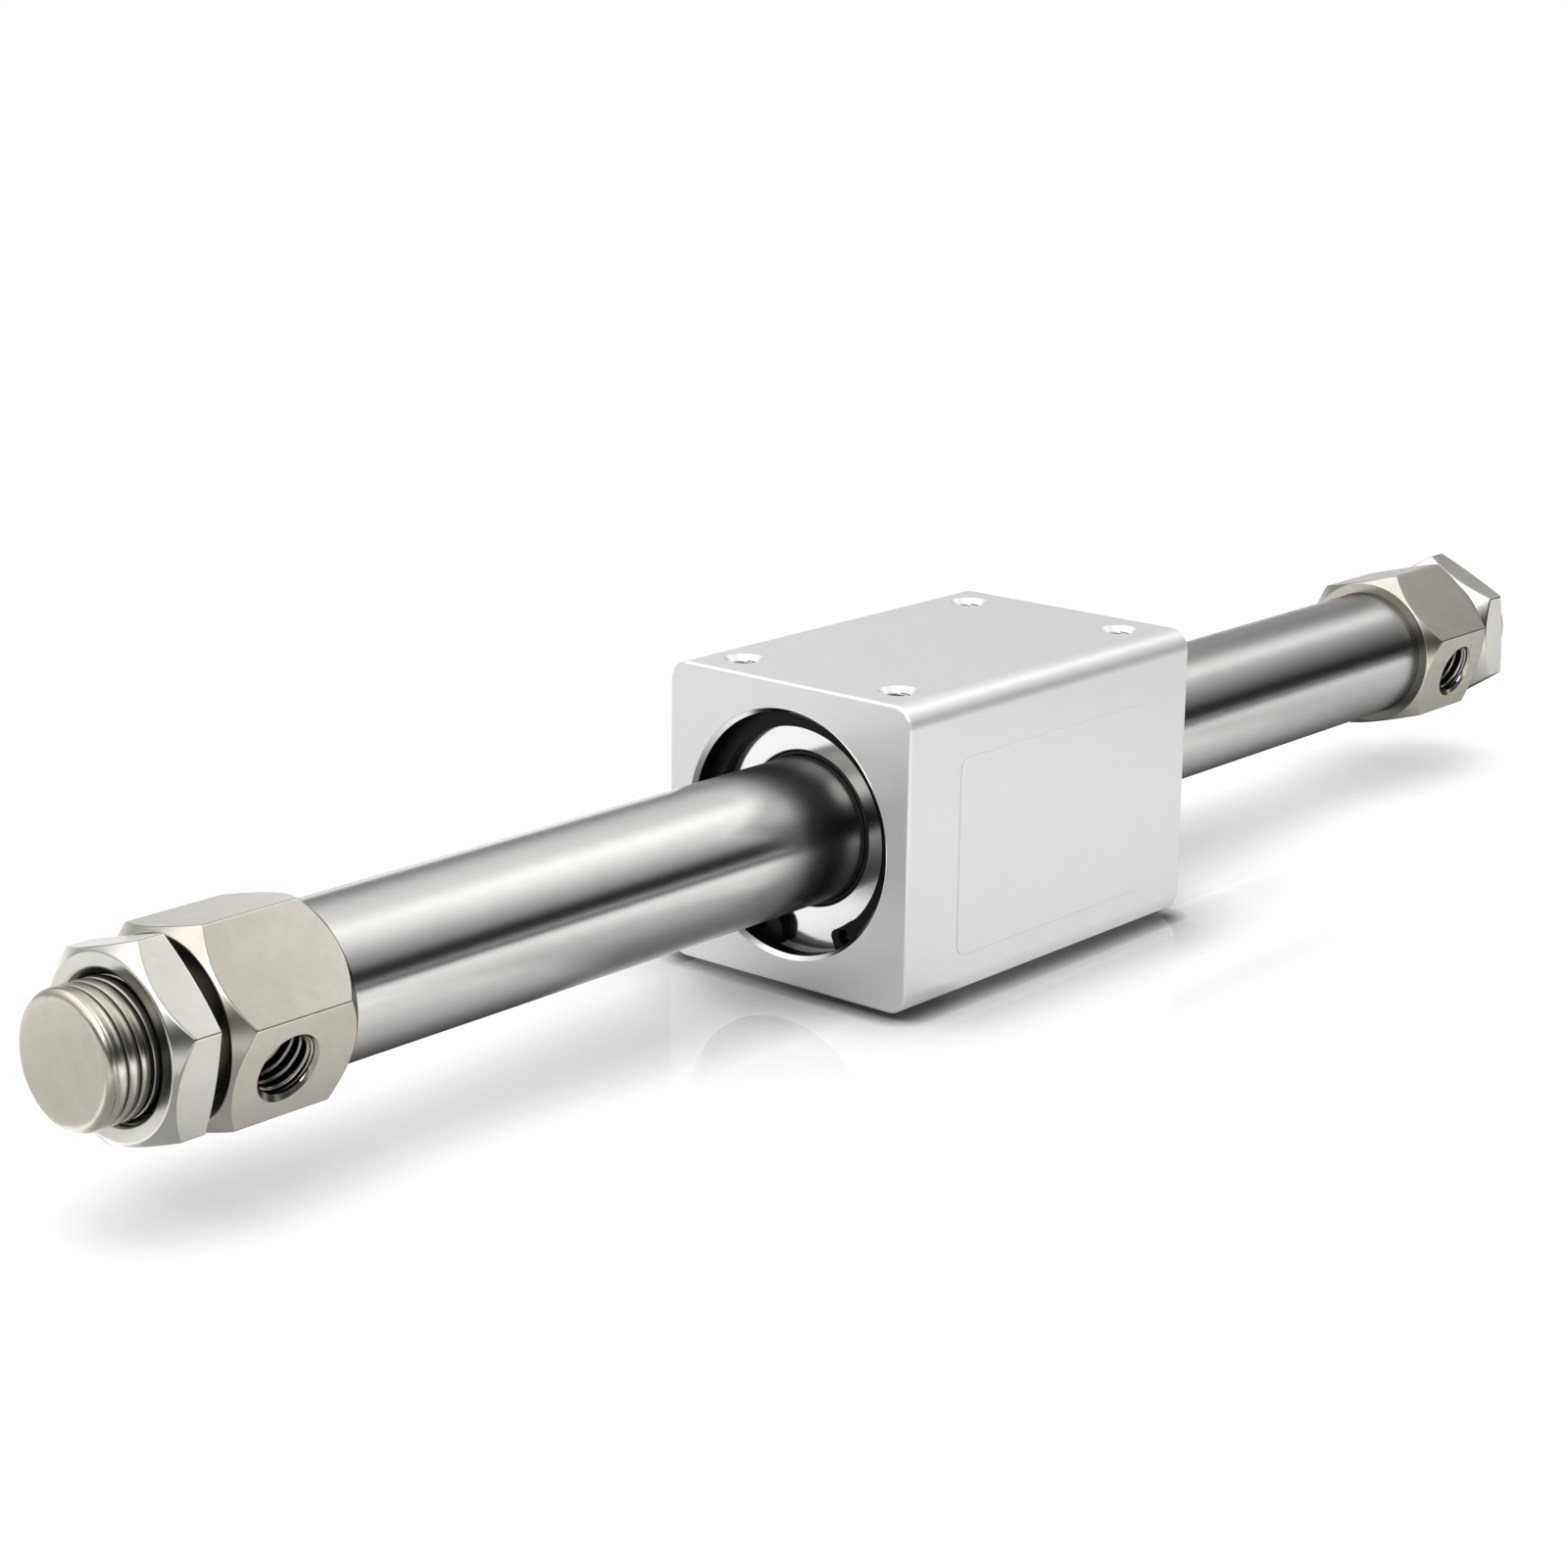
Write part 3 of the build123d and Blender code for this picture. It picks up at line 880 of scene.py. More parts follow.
@dataclass(frozen=True)
class Finish:
    """One finish of the object.

    Args:
        name: name of the material.
        color: base colour.
        dull_color: colour of its duller patches.
        metallic: how metallic it is, 0 to 1.
        roughness: mean roughness.
        roughness_swing: how much the pattern changes the roughness.
        bump: height of the pattern in millimetres.
        marks: the pattern.
        mark_scale: the pattern's scale.
        patina: how strongly the duller patches show.
        cloud_scale: scale of the duller patches.
        stretch: how far highlights are drawn out along the mesh's "lengthwise" map, 0 to 1.
        mirrored: shares of its tone left when another gloss shows it and when a perfect mirror does, a
            painted shade that darkens its reflections.
        specular: specular level of what isn't metallic in it.
    """

    name: str
    color: tuple[float, float, float]
    dull_color: tuple[float, float, float]
    metallic: float = 1.0
    roughness: float = 0.3
    roughness_swing: float = 0.1
    bump: float = 0.002
    marks: Marks = Marks.GRAIN
    mark_scale: float = 4000.0
    patina: float = 0.4
    cloud_scale: float = 260.0
    stretch: float = 0.0
    mirrored: tuple[float, float] = (1.0, 1.0)
    specular: float = 0.5

    def material(self, groups: SurfaceGroups) -> bpy.types.Material:
        """Build the material.

        Args:
            groups: the shared node groups.

        Returns:
            The material.
        """
        made, nodes = new_material(self.name)
        tree = getattr(groups, self.marks.value)
        pattern = nodes.make("ShaderNodeGroup", {"node_tree": tree}, at0=self.mark_scale).outputs
        patina = nodes.make(
            "ShaderNodeGroup",
            {"node_tree": groups.patina},
            Color=(*self.color, 1.0),
            Dull_Color=(*self.dull_color, 1.0),
            Cloud_Scale=self.cloud_scale,
            Amount=self.patina,
        )
        smoothest = max(self.roughness - self.roughness_swing, LEAST_ROUGHNESS)
        roughest = self.roughness + self.roughness_swing
        bump = nodes.make("ShaderNodeBump", Strength=1.0, Distance=self.bump * MM, Height=pattern["Height"])
        tone = patina.outputs["Color"]
        # painted shade of reflections: the tone is darkened only where other surfaces' gloss shows it
        if min(self.mirrored) < 1.0:
            path = nodes.make("ShaderNodeLightPath").outputs
            by_gloss, by_mirror = (1.0 - share for share in self.mirrored)
            lost = nodes.remap(path["Is Singular Ray"], 0.0, 1.0, by_gloss, by_mirror)
            tone = nodes.blend(nodes.math("MULTIPLY", path["Is Glossy Ray"], lost), tone, grey(0.0))
        shader = nodes.make(
            "ShaderNodeBsdfPrincipled",
            Base_Color=tone,
            Metallic=self.metallic,
            Roughness=nodes.remap(pattern["Mask"], *PATTERN_SPAN, smoothest, roughest),
            Normal=bump.outputs["Normal"],
            Specular_IOR_Level=self.specular,
        )
        if self.stretch > 0.0:
            lengthwise = nodes.make("ShaderNodeTangent", {"direction_type": "UV_MAP", "uv_map": LENGTHWISE})
            nodes.feed(shader.inputs["Tangent"], lengthwise.outputs[0])
            nodes.feed(shader.inputs["Anisotropic"], self.stretch)
        nodes.make("ShaderNodeOutputMaterial", Surface=shader.outputs["BSDF"])
        return made


FINISHES = {
    "tube_steel": Finish(
        "ground_steel", (0.66, 0.65, 0.63), (0.58, 0.57, 0.55), roughness=0.23,
        roughness_swing=0.03, bump=0.0003, marks=Marks.TURNED, mark_scale=14000.0, patina=0.4,
        stretch=0.72, mirrored=(0.25, 1.0),
    ),
    "anodised_aluminium": Finish(
        "anodised_aluminium", (0.885, 0.885, 0.885), (0.84, 0.84, 0.84), metallic=0.45,
        roughness=0.33, roughness_swing=0.05, bump=0.003, mark_scale=5200.0, patina=0.45,
        mirrored=(0.55, 1.0),
    ),
    "cover_nickel": Finish(
        "satin_nickel", (0.65, 0.618, 0.545), (0.57, 0.535, 0.46), roughness=0.26,
        roughness_swing=0.02, bump=0.0001, mark_scale=2400.0, patina=0.8, cloud_scale=420.0,
        mirrored=(0.2, 1.0),
    ),
    "nut_nickel": Finish(
        "bright_nickel", (0.71, 0.695, 0.64), (0.62, 0.60, 0.545), roughness=0.21,
        roughness_swing=0.02, bump=0.0001, mark_scale=2400.0, patina=0.7, cloud_scale=420.0,
        mirrored=(0.4, 1.0),
    ),
    # the retaining ring's own black, also used for the painted shade in the bore and in the threaded holes
    "ring_black": Finish(
        "black_spring_steel", (0.009, 0.008, 0.008), (0.016, 0.015, 0.014), metallic=0.5,
        roughness=0.42, bump=0.002, mark_scale=5200.0, specular=0.25,
    ),
    "spacer_nickel": Finish(
        "mirror_nickel", (0.90, 0.89, 0.87), (0.85, 0.84, 0.81), roughness=0.14,
        roughness_swing=0.05, bump=0.0006, marks=Marks.TURNED, mark_scale=9000.0, patina=0.25,
        mirrored=(0.2, 0.12),
    ),
    "scraper_rubber": Finish(
        "nitrile_rubber", (0.012, 0.012, 0.012), (0.022, 0.022, 0.022), metallic=0.0, roughness=0.6,
        bump=0.004, mark_scale=3000.0,
    ),
    "seal_rubber": Finish(
        "seal_rubber", (0.016, 0.016, 0.017), (0.03, 0.03, 0.03), metallic=0.0, roughness=0.5,
        bump=0.003, mark_scale=3200.0,
    ),
    "bumper_urethane": Finish(
        "amber_urethane", (0.34, 0.21, 0.07), (0.26, 0.15, 0.05), metallic=0.0, roughness=0.4,
        bump=0.003, mark_scale=2600.0,
    ),
    "lube_felt": Finish(
        "oiled_felt", (0.62, 0.57, 0.44), (0.5, 0.45, 0.33), metallic=0.0, roughness=0.85,
        bump=0.03, mark_scale=2600.0, patina=0.8,
    ),
    "wear_resin": Finish(
        "bearing_resin", (0.32, 0.24, 0.13), (0.25, 0.18, 0.1), metallic=0.0, roughness=0.5,
        bump=0.003, marks=Marks.TURNED, mark_scale=5000.0,
    ),
    "yoke_steel": Finish(
        "rolled_steel", (0.52, 0.52, 0.53), (0.44, 0.44, 0.45), roughness=0.36, bump=0.003,
        marks=Marks.TURNED, mark_scale=6000.0,
    ),
    "magnet_plate": Finish(
        "plated_magnet", (0.66, 0.655, 0.64), (0.58, 0.575, 0.56), roughness=0.2, bump=0.001,
        mark_scale=3000.0,
    ),
    "shaft_steel": Finish(
        "shaft_steel", (0.60, 0.60, 0.59), (0.53, 0.53, 0.52), roughness=0.25, bump=0.001,
        marks=Marks.TURNED, mark_scale=9000.0,
    ),
    "piston_aluminium": Finish(
        "piston_aluminium", (0.74, 0.73, 0.70), (0.66, 0.64, 0.60), roughness=0.34, bump=0.003,
        marks=Marks.TURNED, mark_scale=7000.0,
    ),
}


class Wardrobe:
    """Materials by the record's slot names."""

    def __init__(self) -> None:
        """Build the groups and the finishes."""
        self.groups = SurfaceGroups()
        self.made = {slot: finish.material(self.groups) for slot, finish in FINISHES.items()}

    def dress(self, item: bpy.types.Object, slot: str) -> bpy.types.Object:
        """Give an object one finish.

        Args:
            item: the object.
            slot: slot name in the record.

        Returns:
            The object.
        """
        item.data.materials.clear()
        item.data.materials.append(self.made[slot])
        return item


@dataclass
class Bench:
    """Turns finished meshes into the object's pieces."""

    wardrobe: Wardrobe
    made: list[str] = field(default_factory=list)

    def place(self, mesh: bpy.types.Mesh, body: Body, slot: str, *nodes: str) -> bpy.types.Object:
        """Make a piece that rides on a body.

        Args:
            mesh: its mesh, in place.
            body: the body that it rides on.
            slot: its finish.
            nodes: CAD nodes that it stands for.

        Returns:
            The object.
        """
        item = self.wardrobe.dress(linked(mesh.name, mesh), slot)
        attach(item, body.value)
        if nodes:
            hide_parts(*nodes)
        self.made.append(item.name)
        LOG.info("%s: %d faces on %s", item.name, len(mesh.polygons), body.value)
        return item


# Sub-assemblies


@dataclass
class TurnedPiece:
    """A piece turned from one closed profile.

    Args:
        node: the CAD node that it stands for.
        body: the body that it rides on.
        slot: its finish.
        profile: closed list of station and radius.
        edge: how far its edges are rounded.
        columns: columns round the turn.
        name: the piece's own name, if it stands for no node.
    """

    node: str
    body: Body
    slot: str
    profile: Profile
    edge: float = 0.08
    columns: int = 128
    name: str = ""

    def build(self, bench: Bench) -> bpy.types.Object:
        """Turn the profile, which touches the axis at two corners or none.

        Args:
            bench: makes the piece.

        Returns:
            The object.
        """
        outline = round_outline(self.columns)
        rings = np.stack([outline.circle(x, radius) for x, radius in self.profile])
        touches = [radius <= 0.0 for _, radius in self.profile]
        closed = not any(touches)
        cuts = np.where(touches, 0.0, self.edge)
        shell = Shell().rings(softened(rings, cuts, closed), closed=closed)
        mesh = shell.mesh(self.name or f"{self.node}_turned")
        if FINISHES[self.slot].stretch > 0.0:
            add_lengthwise_map(mesh)
        return bench.place(mesh, self.body, self.slot, *([self.node] if self.node else []))


@dataclass
class Barrel:
    """The tube and what stays with it, except the head covers."""

    bumper_thickness: float = 1.5
    bumper_radius: float = 4.6
    bumper_bore: float = 2.7
    gasket_cord: float = 0.4
    cord_columns: int = 16
    columns: int = 128

    def build(self, bench: Bench) -> None:
        """Make the tube, the gaskets and the bumpers."""
        tube = oblong(-SIZES.tube_half, SIZES.tube_half, SIZES.bore_radius, SIZES.tube_radius)
        TurnedPiece("tube", Body.BARREL, "tube_steel", tube, edge=0.15, columns=192).build(bench)
        for side in Side:
            sign = side.value
            far, near = sign * SIZES.spigot_end, sign * (SIZES.spigot_end - self.bumper_thickness)
            bumper = oblong(far, near, self.bumper_bore, self.bumper_radius)
            node = f"{side.label}_bumper"
            TurnedPiece(node, Body.BARREL, "bumper_urethane", bumper, edge=0.25).build(bench)
            self._gasket(side, bench)

    def _gasket(self, side: Side, bench: Bench) -> None:
        """Make a gasket: a round cord swept round the axis."""
        swing = np.linspace(0.0, TURN, self.cord_columns, endpoint=False)
        outline = round_outline(self.columns)
        middle = SIZES.bore_radius - self.gasket_cord
        at = side.value * SIZES.gasket_at
        rings = np.stack([
            outline.circle(at + self.gasket_cord * math.cos(turn), middle + self.gasket_cord * math.sin(turn))
            for turn in swing
        ])
        mesh = Shell().rings(rings, closed=True).mesh(f"{side.label}_gasket_cord")
        bench.place(mesh, Body.BARREL, "seal_rubber", f"{side.label}_tube_gasket")


@dataclass
class HeadCover:
    """Hexagonal head cover with its port and threaded nose.

    Args:
        side: which end it is on.
        vertex_angle: angle of one corner about +X, in degrees.
        inner_edge: inset of the round edge next to the slider, and its cone's length at a corner.
        outer_edge: the same for the edge next to the nut.
        nose_lead: how far before the nose's end, and how deep the thread's roots may still be there.
        relief_rise: length over which the thread's crests rise out of the relief.
        port_thread_from: how far above the port's floor its thread starts.
        port_fades: lengths over which that thread starts and ends.
        port_root_from: how far below the flat the dark layer of painted shade starts.
        port_root_lift: how far above the port's floor it ends.
        cutter_rise: how far the cutter stands out of the port.
    """

    side: Side
    vertex_angle: float
    apothem: float = 7.0
    corner_radius: float = 0.22
    inner_edge: tuple[float, float] = (0.1, 1.4)
    outer_edge: tuple[float, float] = (0.25, 1.2)
    socket_floor: float = 73.9
    seat_radius: float = 2.7
    seat_length: float = 1.0
    gasket_groove: float = 0.6
    gasket_floor: float = 4.2
    passage_radius: float = 1.5
    passage_end: float = 78.0
    nose_radius: float = 4.9
    nose_end: float = 89.8
    nose_chamfer: float = 0.65
    nose_pitch: float = 1.0
    nose_lead: Stops = ((1.95, 0.3), (0.95, 0.35), (0.6, 0.1), (0.0, 0.0))
    nose_inset: float = 0.25
    relief_radius: float = 4.6
    relief_end: float = 82.3
    relief_rise: float = 0.5
    port_columns: int = 72
    port_at: float = 76.5
    port_radius: float = 2.1
    port_major: float = 2.5
    port_rim: float = 2.65
    port_pitch: float = 0.8
    port_floor: float = 2.6
    port_thread_from: float = 0.35
    port_fades: tuple[float, float] = (0.4, 0.15)
    port_passage: float = 1.2
    port_passage_from: float = 0.3
    port_step: float = 0.5
    port_root_from: float = 0.5
    port_root_lift: float = 0.02
    port_root_radius: float = 2.26
    cutter_rise: float = 2.0

    @property
    def port_angle(self) -> float:
        """Angle of the port's flat about +X, in radians."""
        return math.radians(self.vertex_angle + 30.0)

    def build(self, bench: Bench) -> None:
        """Make the cover, cut its port and place it."""
        outline = hexagon(self.apothem, self.corner_radius, self.vertex_angle)
        shell = Shell().rings(self._block(outline))
        shell.add(*self._nose(outline))
        tip = self.nose_radius - self.nose_chamfer
        end = self.side.value * self.nose_end
        shell.rings(np.stack([outline.circle(end, radius) for radius in (tip, tip - self.nose_inset, 0.0)]))
        mesh = carved(shell.mesh(f"{self.side.label}_cover"), [self._port()])
        bench.place(mesh, Body.BARREL, "cover_nickel", f"{self.side.label}_head_cover")
        # a dark cup of painted shade in the port's thread roots and on its floor
        bench.place(self._port_roots(), Body.BARREL, "ring_black")

    def _block(self, outline: Outline) -> np.ndarray:
        """Rings from the passage's end through the socket and round the hexagon to the thread's start.

        Args:
            outline: the hexagon.

        Returns:
            (rings, columns, 3) array with rounded corners.
        """
        sign = float(self.side.value)
        bore, tube = SIZES.bore_radius, SIZES.tube_radius
        inner, outer = SIZES.cover_inner, SIZES.cover_outer
        inner_radius, inner_cone = cone_edge(outline, self.apothem, self.inner_edge)
        outer_radius, outer_cone = cone_edge(outline, self.apothem, self.outer_edge)
        seat = SIZES.spigot_end - self.seat_length
        groove_from, groove_to = SIZES.gasket_at - self.gasket_groove, SIZES.gasket_at + self.gasket_groove
        # station, radius and rounding of each turned corner
        turned = (
            (self.passage_end, 0.0, 0.0),
            (self.passage_end, self.passage_radius, 0.05),
            (seat, self.passage_radius, 0.1),
            (seat, self.seat_radius, 0.1),
            (SIZES.spigot_end, self.seat_radius, 0.05),
            (SIZES.spigot_end, bore, 0.15),
            (groove_from, bore, 0.05),
            (groove_from, self.gasket_floor, 0.05),
            (groove_to, self.gasket_floor, 0.05),
            (groove_to, bore, 0.05),
            (self.socket_floor, bore, 0.05),
            (self.socket_floor, tube, 0.05),
            (inner, tube, 0.03),
            (inner, inner_radius, 0.05),
        )
        rows = [(outline.circle(sign * x, radius), cut) for x, radius, cut in turned]
        rows += [
            (outline.ring(sign * (inner + inner_cone)), 0.09),
            (outline.ring(sign * (outer - outer_cone)), 0.09),
            (outline.circle(sign * outer, outer_radius), 0.09),
            (outline.circle(sign * outer, self.relief_radius), 0.08),
            (outline.circle(sign * self.relief_end, self.relief_radius), 0.0),
        ]
        return soft_rows(rows, closed=False)

    def _nose(self, outline: Outline) -> tuple[np.ndarray, np.ndarray]:
        """Rolled thread that rises out of the relief and ends in the nose's rounded tip.

        Args:
            outline: gives the columns' angles.

        Returns:
            (points, quads) of its surface.
        """
        sign = float(self.side.value)
        bend = np.radians(np.linspace(0.0, 90.0, 7))
        round_x = self.nose_end - self.nose_chamfer * (1.0 - np.sin(bend))
        round_r = self.nose_radius - self.nose_chamfer * (1.0 - np.cos(bend))
        stations = [sign * x for x in (self.relief_end, self.relief_end + self.relief_rise, *round_x)]
        limits = [self.relief_radius, self.nose_radius, *round_r]
        faint = [sign * (self.nose_end - back) for back, _ in self.nose_lead]
        roots = [self.nose_radius - depth for _, depth in self.nose_lead]
        if sign < 0:
            stations, limits, faint, roots = stations[::-1], limits[::-1], faint[::-1], roots[::-1]
        form = ThreadForm(self.nose_pitch, self.nose_radius - self.relief_radius, True, *ROLLED)
        reach = (min(stations), max(stations))
        return form.surface(outline, self.nose_radius, reach, (stations, limits), (faint, roots))

    def _port_roots(self) -> bpy.types.Mesh:
        """Make the dark layer of painted shade inside the port."""
        reach = (self.apothem - self.port_root_from, self.port_floor + self.port_root_lift)
        name = f"{self.side.label}_port_roots"
        return painted_shade_cup(name, self.port_root_radius, reach, *self._port_place())

    def _port_place(self) -> tuple[np.ndarray, np.ndarray]:
        """Rotation from +X to the direction out of the port, and where the port's axis meets the tube's."""
        out = np.array([0.0, math.cos(self.port_angle), math.sin(self.port_angle)])
        return aimed(out), np.array([self.side.value * self.port_at, 0.0, 0.0])

    def _port(self) -> bpy.types.Mesh:
        """Make the cutter of the port: a tapped hole with a countersunk mouth and a passage below."""
        outline = round_outline(self.port_columns)
        circle = outline.circle
        tap, major, rim = self.port_radius, self.port_major, self.port_rim
        first, last = self.port_floor + self.port_thread_from, self.apothem
        fade_in, fade_out = self.port_fades
        ceiling = ([first, first + fade_in, last - fade_out, last], [tap, major, major, rim])
        low = ([first, last - (rim - tap), last], [tap, tap, rim])
        form = ThreadForm(pitch=self.port_pitch, depth=major - tap, inward=False)
        shell = Shell().add(*form.surface(outline, tap, (first, last), ceiling, low))
        top = last + self.cutter_rise
        shell.rings(np.stack([circle(last, rim), circle(top, rim + self.cutter_rise), circle(top, 0.0)]))
        base = [
            (first, tap),
            (self.port_floor, tap),
            (self.port_floor - self.port_step, self.port_passage),
            (self.port_passage_from, self.port_passage),
            (self.port_passage_from, 0.0),
        ]
        shell.rings(np.stack([circle(x, radius) for x, radius in base]))
        return shell.mesh("port_cutter", *self._port_place())


@dataclass
class MountingNut:
    """Thin hexagon nut on a nose.

    Args:
        side: which end it is on.
        vertex_angle: angle of one corner about +X, in degrees.
        near: station of the face next to the cover.
        near_edge: inset of that face's round edge, and its cone's length at a corner.
        far_edge: the same for the other face.
        mouth: how far the bore's ends are countersunk.
        edge: how far its edges are rounded.
    """

    side: Side
    vertex_angle: float
    near: float
    near_edge: tuple[float, float]
    far_edge: tuple[float, float]
    thickness: float = 3.7
    apothem: float = 6.75
    corner_radius: float = 0.2
    bore: float = 5.05
    mouth: float = 0.4
    edge: float = 0.12

    def build(self, bench: Bench) -> None:
        """Make the nut from one ring of flats with a cone at each face and a countersunk bore."""
        outline = hexagon(self.apothem, self.corner_radius, self.vertex_angle)
        sign = float(self.side.value)
        near, far = self.near, self.near + self.thickness
        near_radius, near_cone = cone_edge(outline, self.apothem, self.near_edge)
        far_radius, far_cone = cone_edge(outline, self.apothem, self.far_edge)
        circle, ring = outline.circle, outline.ring
        rows = [
            circle(sign * (near + self.mouth), self.bore),
            circle(sign * near, self.bore + self.mouth),
            circle(sign * near, near_radius),
            ring(sign * (near + near_cone)),
            ring(sign * (far - far_cone)),
            circle(sign * far, far_radius),
            circle(sign * far, self.bore + self.mouth),
            circle(sign * (far - self.mouth), self.bore),
        ]
        rings = softened(np.stack(rows), self.edge, True)
        mesh = Shell().rings(rings, closed=True).mesh(f"{self.side.label}_nut")
        body = Body.LEFT_NUT if self.side is Side.LEFT else Body.RIGHT_NUT
        bench.place(mesh, body, "nut_nickel", f"{self.side.label}_mounting_nut")


@dataclass
class SliderBlock:
    """The slider's body with its bore, ring grooves, tapped holes and bare label plate.

    Args:
        groove_near: where each ring groove starts, from the slider's middle.
        groove_far: where it ends.
        hole_pitch: distances between the tapped holes along and across the tube.
        edge_steps: columns along a flat side and steps round a long edge.
        hole_radius: radius of the thread's crests.
        hole_major: radius of its roots.
        hole_mouth: radius of the countersunk mouth.
        hole_sink: depth of the countersink.
        hole_thread: pitch of the thread.
        hole_fades: lengths over which the thread starts and ends.
        hole_drilled: plain length below the thread.
        hole_point: depth of the drill's point.
        hole_shade_reach: where the dark layer of painted shade starts below the countersink and ends above
            the floor.
        cutter_rise: how far the cutters stand out of the block.
        columns: columns round the thin pieces in the bore.
        band_skin: half the thickness of the dark band of painted shade on the bore's wall.
        edge_skin: half the thickness of the mouth's bright edge.
        plate_x: reach of the label plate from the slider's middle.
        plate_z: its reach in Z.
        plate_soft: how far its front edge is broken.
        plate_ring: inset of the ring that keeps its front flat.
        plate_sunk: how deep it is let into the slider.
    """

    half_width: float = 12.5
    edge_radius: float = 1.8
    edge_steps: tuple[int, int] = (30, 14)
    end_chamfer: float = 0.19
    mouth_chamfer: float = 0.34
    groove_radius: float = 10.5
    groove_near: float = 16.35
    groove_far: float = 17.45
    hole_pitch: tuple[float, float] = (30.0, 16.0)
    hole_radius: float = 1.18
    hole_major: float = 1.5
    hole_mouth: float = 1.68
    hole_sink: float = 0.48
    hole_root_radius: float = 1.22
    hole_depth: float = 4.5
    hole_thread: float = 0.5
    hole_fades: tuple[float, float] = (0.3, 0.1)
    hole_drilled: float = 0.5
    hole_point: float = 0.35
    hole_shade_reach: tuple[float, float] = (0.02, 0.05)
    hole_columns: int = 64
    cutter_rise: float = 1.0
    columns: int = 160
    band_skin: float = 0.02
    edge_skin: float = 0.012
    plate_x: tuple[float, float] = (-12.5, 13.3)
    plate_z: tuple[float, float] = (-9.0, 7.3)
    plate_thickness: float = 0.07
    plate_corner: float = 0.9
    plate_steps: tuple[int, int] = (6, 8)
    plate_soft: float = 0.03
    plate_ring: float = 0.3
    plate_sunk: float = 0.05

    def build(self, bench: Bench) -> None:
        """Make the block and its plate."""
        outline = polygon_outline(4, self.half_width, self.edge_radius, 45.0, *self.edge_steps)
        half, bore, mid = SIZES.slider_half, SIZES.slider_bore, SIZES.rest_x
        # distance from the middle, radius and rounding of each turned corner
        turned = (
            (self.groove_near, bore, 0.04),
            (self.groove_near, self.groove_radius, 0.04),
            (self.groove_far, self.groove_radius, 0.04),
            (self.groove_far, bore, 0.04),
            (half - self.mouth_chamfer, bore, 0.05),
            (half, bore + self.mouth_chamfer, 0.08),
        )
        rows: list[tuple[np.ndarray, float]] = []
        for sign in (-1.0, 1.0):
            end = [(outline.circle(mid + sign * x, radius), cut) for x, radius, cut in turned]
            end += [
                (outline.ring(mid + sign * half, self.end_chamfer), 0.07),
                (outline.ring(mid + sign * (half - self.end_chamfer)), 0.07),
            ]
            rows.extend(end if sign < 0 else end[::-1])
        mesh = Shell().rings(soft_rows(rows, closed=True), closed=True).mesh("slider_block")
        places = [
            np.array([mid + along * self.hole_pitch[0] / 2, beside * self.hole_pitch[1] / 2, 0.0])
            for along in (-1, 1) for beside in (-1, 1)
        ]
        block = carved(mesh, [self._hole(place) for place in places])
        bench.place(block, Body.SLIDER, "anodised_aluminium", "slider_body")
        # dark cups of painted shade in the holes' thread roots and on their floors
        below, above = self.hole_shade_reach
        reach = (self.half_width - self.hole_sink - below, self.half_width - self.hole_depth + above)
        for number, place in enumerate(places, 1):
            lining = painted_shade_cup(f"hole_roots_{number}", self.hole_root_radius, reach, UPWARDS, place)
            bench.place(lining, Body.SLIDER, "ring_black")
        bench.place(self._plate(), Body.SLIDER, "anodised_aluminium")
        for side in Side:
            self._shadow_band(side).build(bench)
            self._mouth_edge(side).build(bench)

    def _shadow_band(self, side: Side) -> TurnedPiece:
        """Dark band of painted shade on the bore's wall between the ring's groove and the mouth.

        Args:
            side: which end it is on.

        Returns:
            The band, a hair thick.
        """
        bore, skin = SIZES.slider_bore, self.band_skin
        wall = oblong(self.groove_far, SIZES.slider_half - self.mouth_chamfer, bore - skin, bore + skin)
        name = f"{side.label}_bore_band"
        return TurnedPiece("", Body.SLIDER, "ring_black", on_side(side, wall), 0.0, self.columns, name)

    def _mouth_edge(self, side: Side) -> TurnedPiece:
        """Bright cut face of the bore's chamfer.

        Args:
            side: which end it is on.

        Returns:
            The face, a hair thick.
        """
        bore, skin = SIZES.slider_bore, self.edge_skin
        near, far = SIZES.slider_half - self.mouth_chamfer, SIZES.slider_half
        rim = bore + self.mouth_chamfer
        face = [(near + skin, bore - skin), (far + skin, rim - skin), (far - skin, rim + skin),
                (near - skin, bore + skin)]
        name = f"{side.label}_mouth_edge"
        return TurnedPiece("", Body.SLIDER, "spacer_nickel", on_side(side, face), 0.0, self.columns, name)

    def _hole(self, place: np.ndarray) -> bpy.types.Mesh:
        """Make the cutter of one tapped hole.

        Args:
            place: where the hole's axis meets the tube's level.

        Returns:
            The cutter.
        """
        outline = round_outline(self.hole_columns)
        circle = outline.circle
        tap, major, mouth = self.hole_radius, self.hole_major, self.hole_mouth
        top, sunk = self.half_width, self.half_width - self.hole_sink
        bottom = top - self.hole_depth
        first = bottom + self.hole_drilled
        fade_in, fade_out = self.hole_fades
        ceiling = ([first, first + fade_in, sunk - fade_out, sunk, top], [tap, major, major, tap, mouth])
        low = ([first, sunk, top], [tap, tap, mouth])
        form = ThreadForm(pitch=self.hole_thread, depth=major - tap, inward=False)
        shell = Shell().add(*form.surface(outline, tap, (first, top), ceiling, low))
        above = top + self.cutter_rise
        shell.rings(np.stack([circle(top, mouth), circle(above, mouth), circle(above, 0.0)]))
        point = bottom - self.hole_point
        shell.rings(np.stack([circle(first, tap), circle(bottom, tap), circle(point, 0.0)]))
        return shell.mesh("hole_cutter", UPWARDS, place)

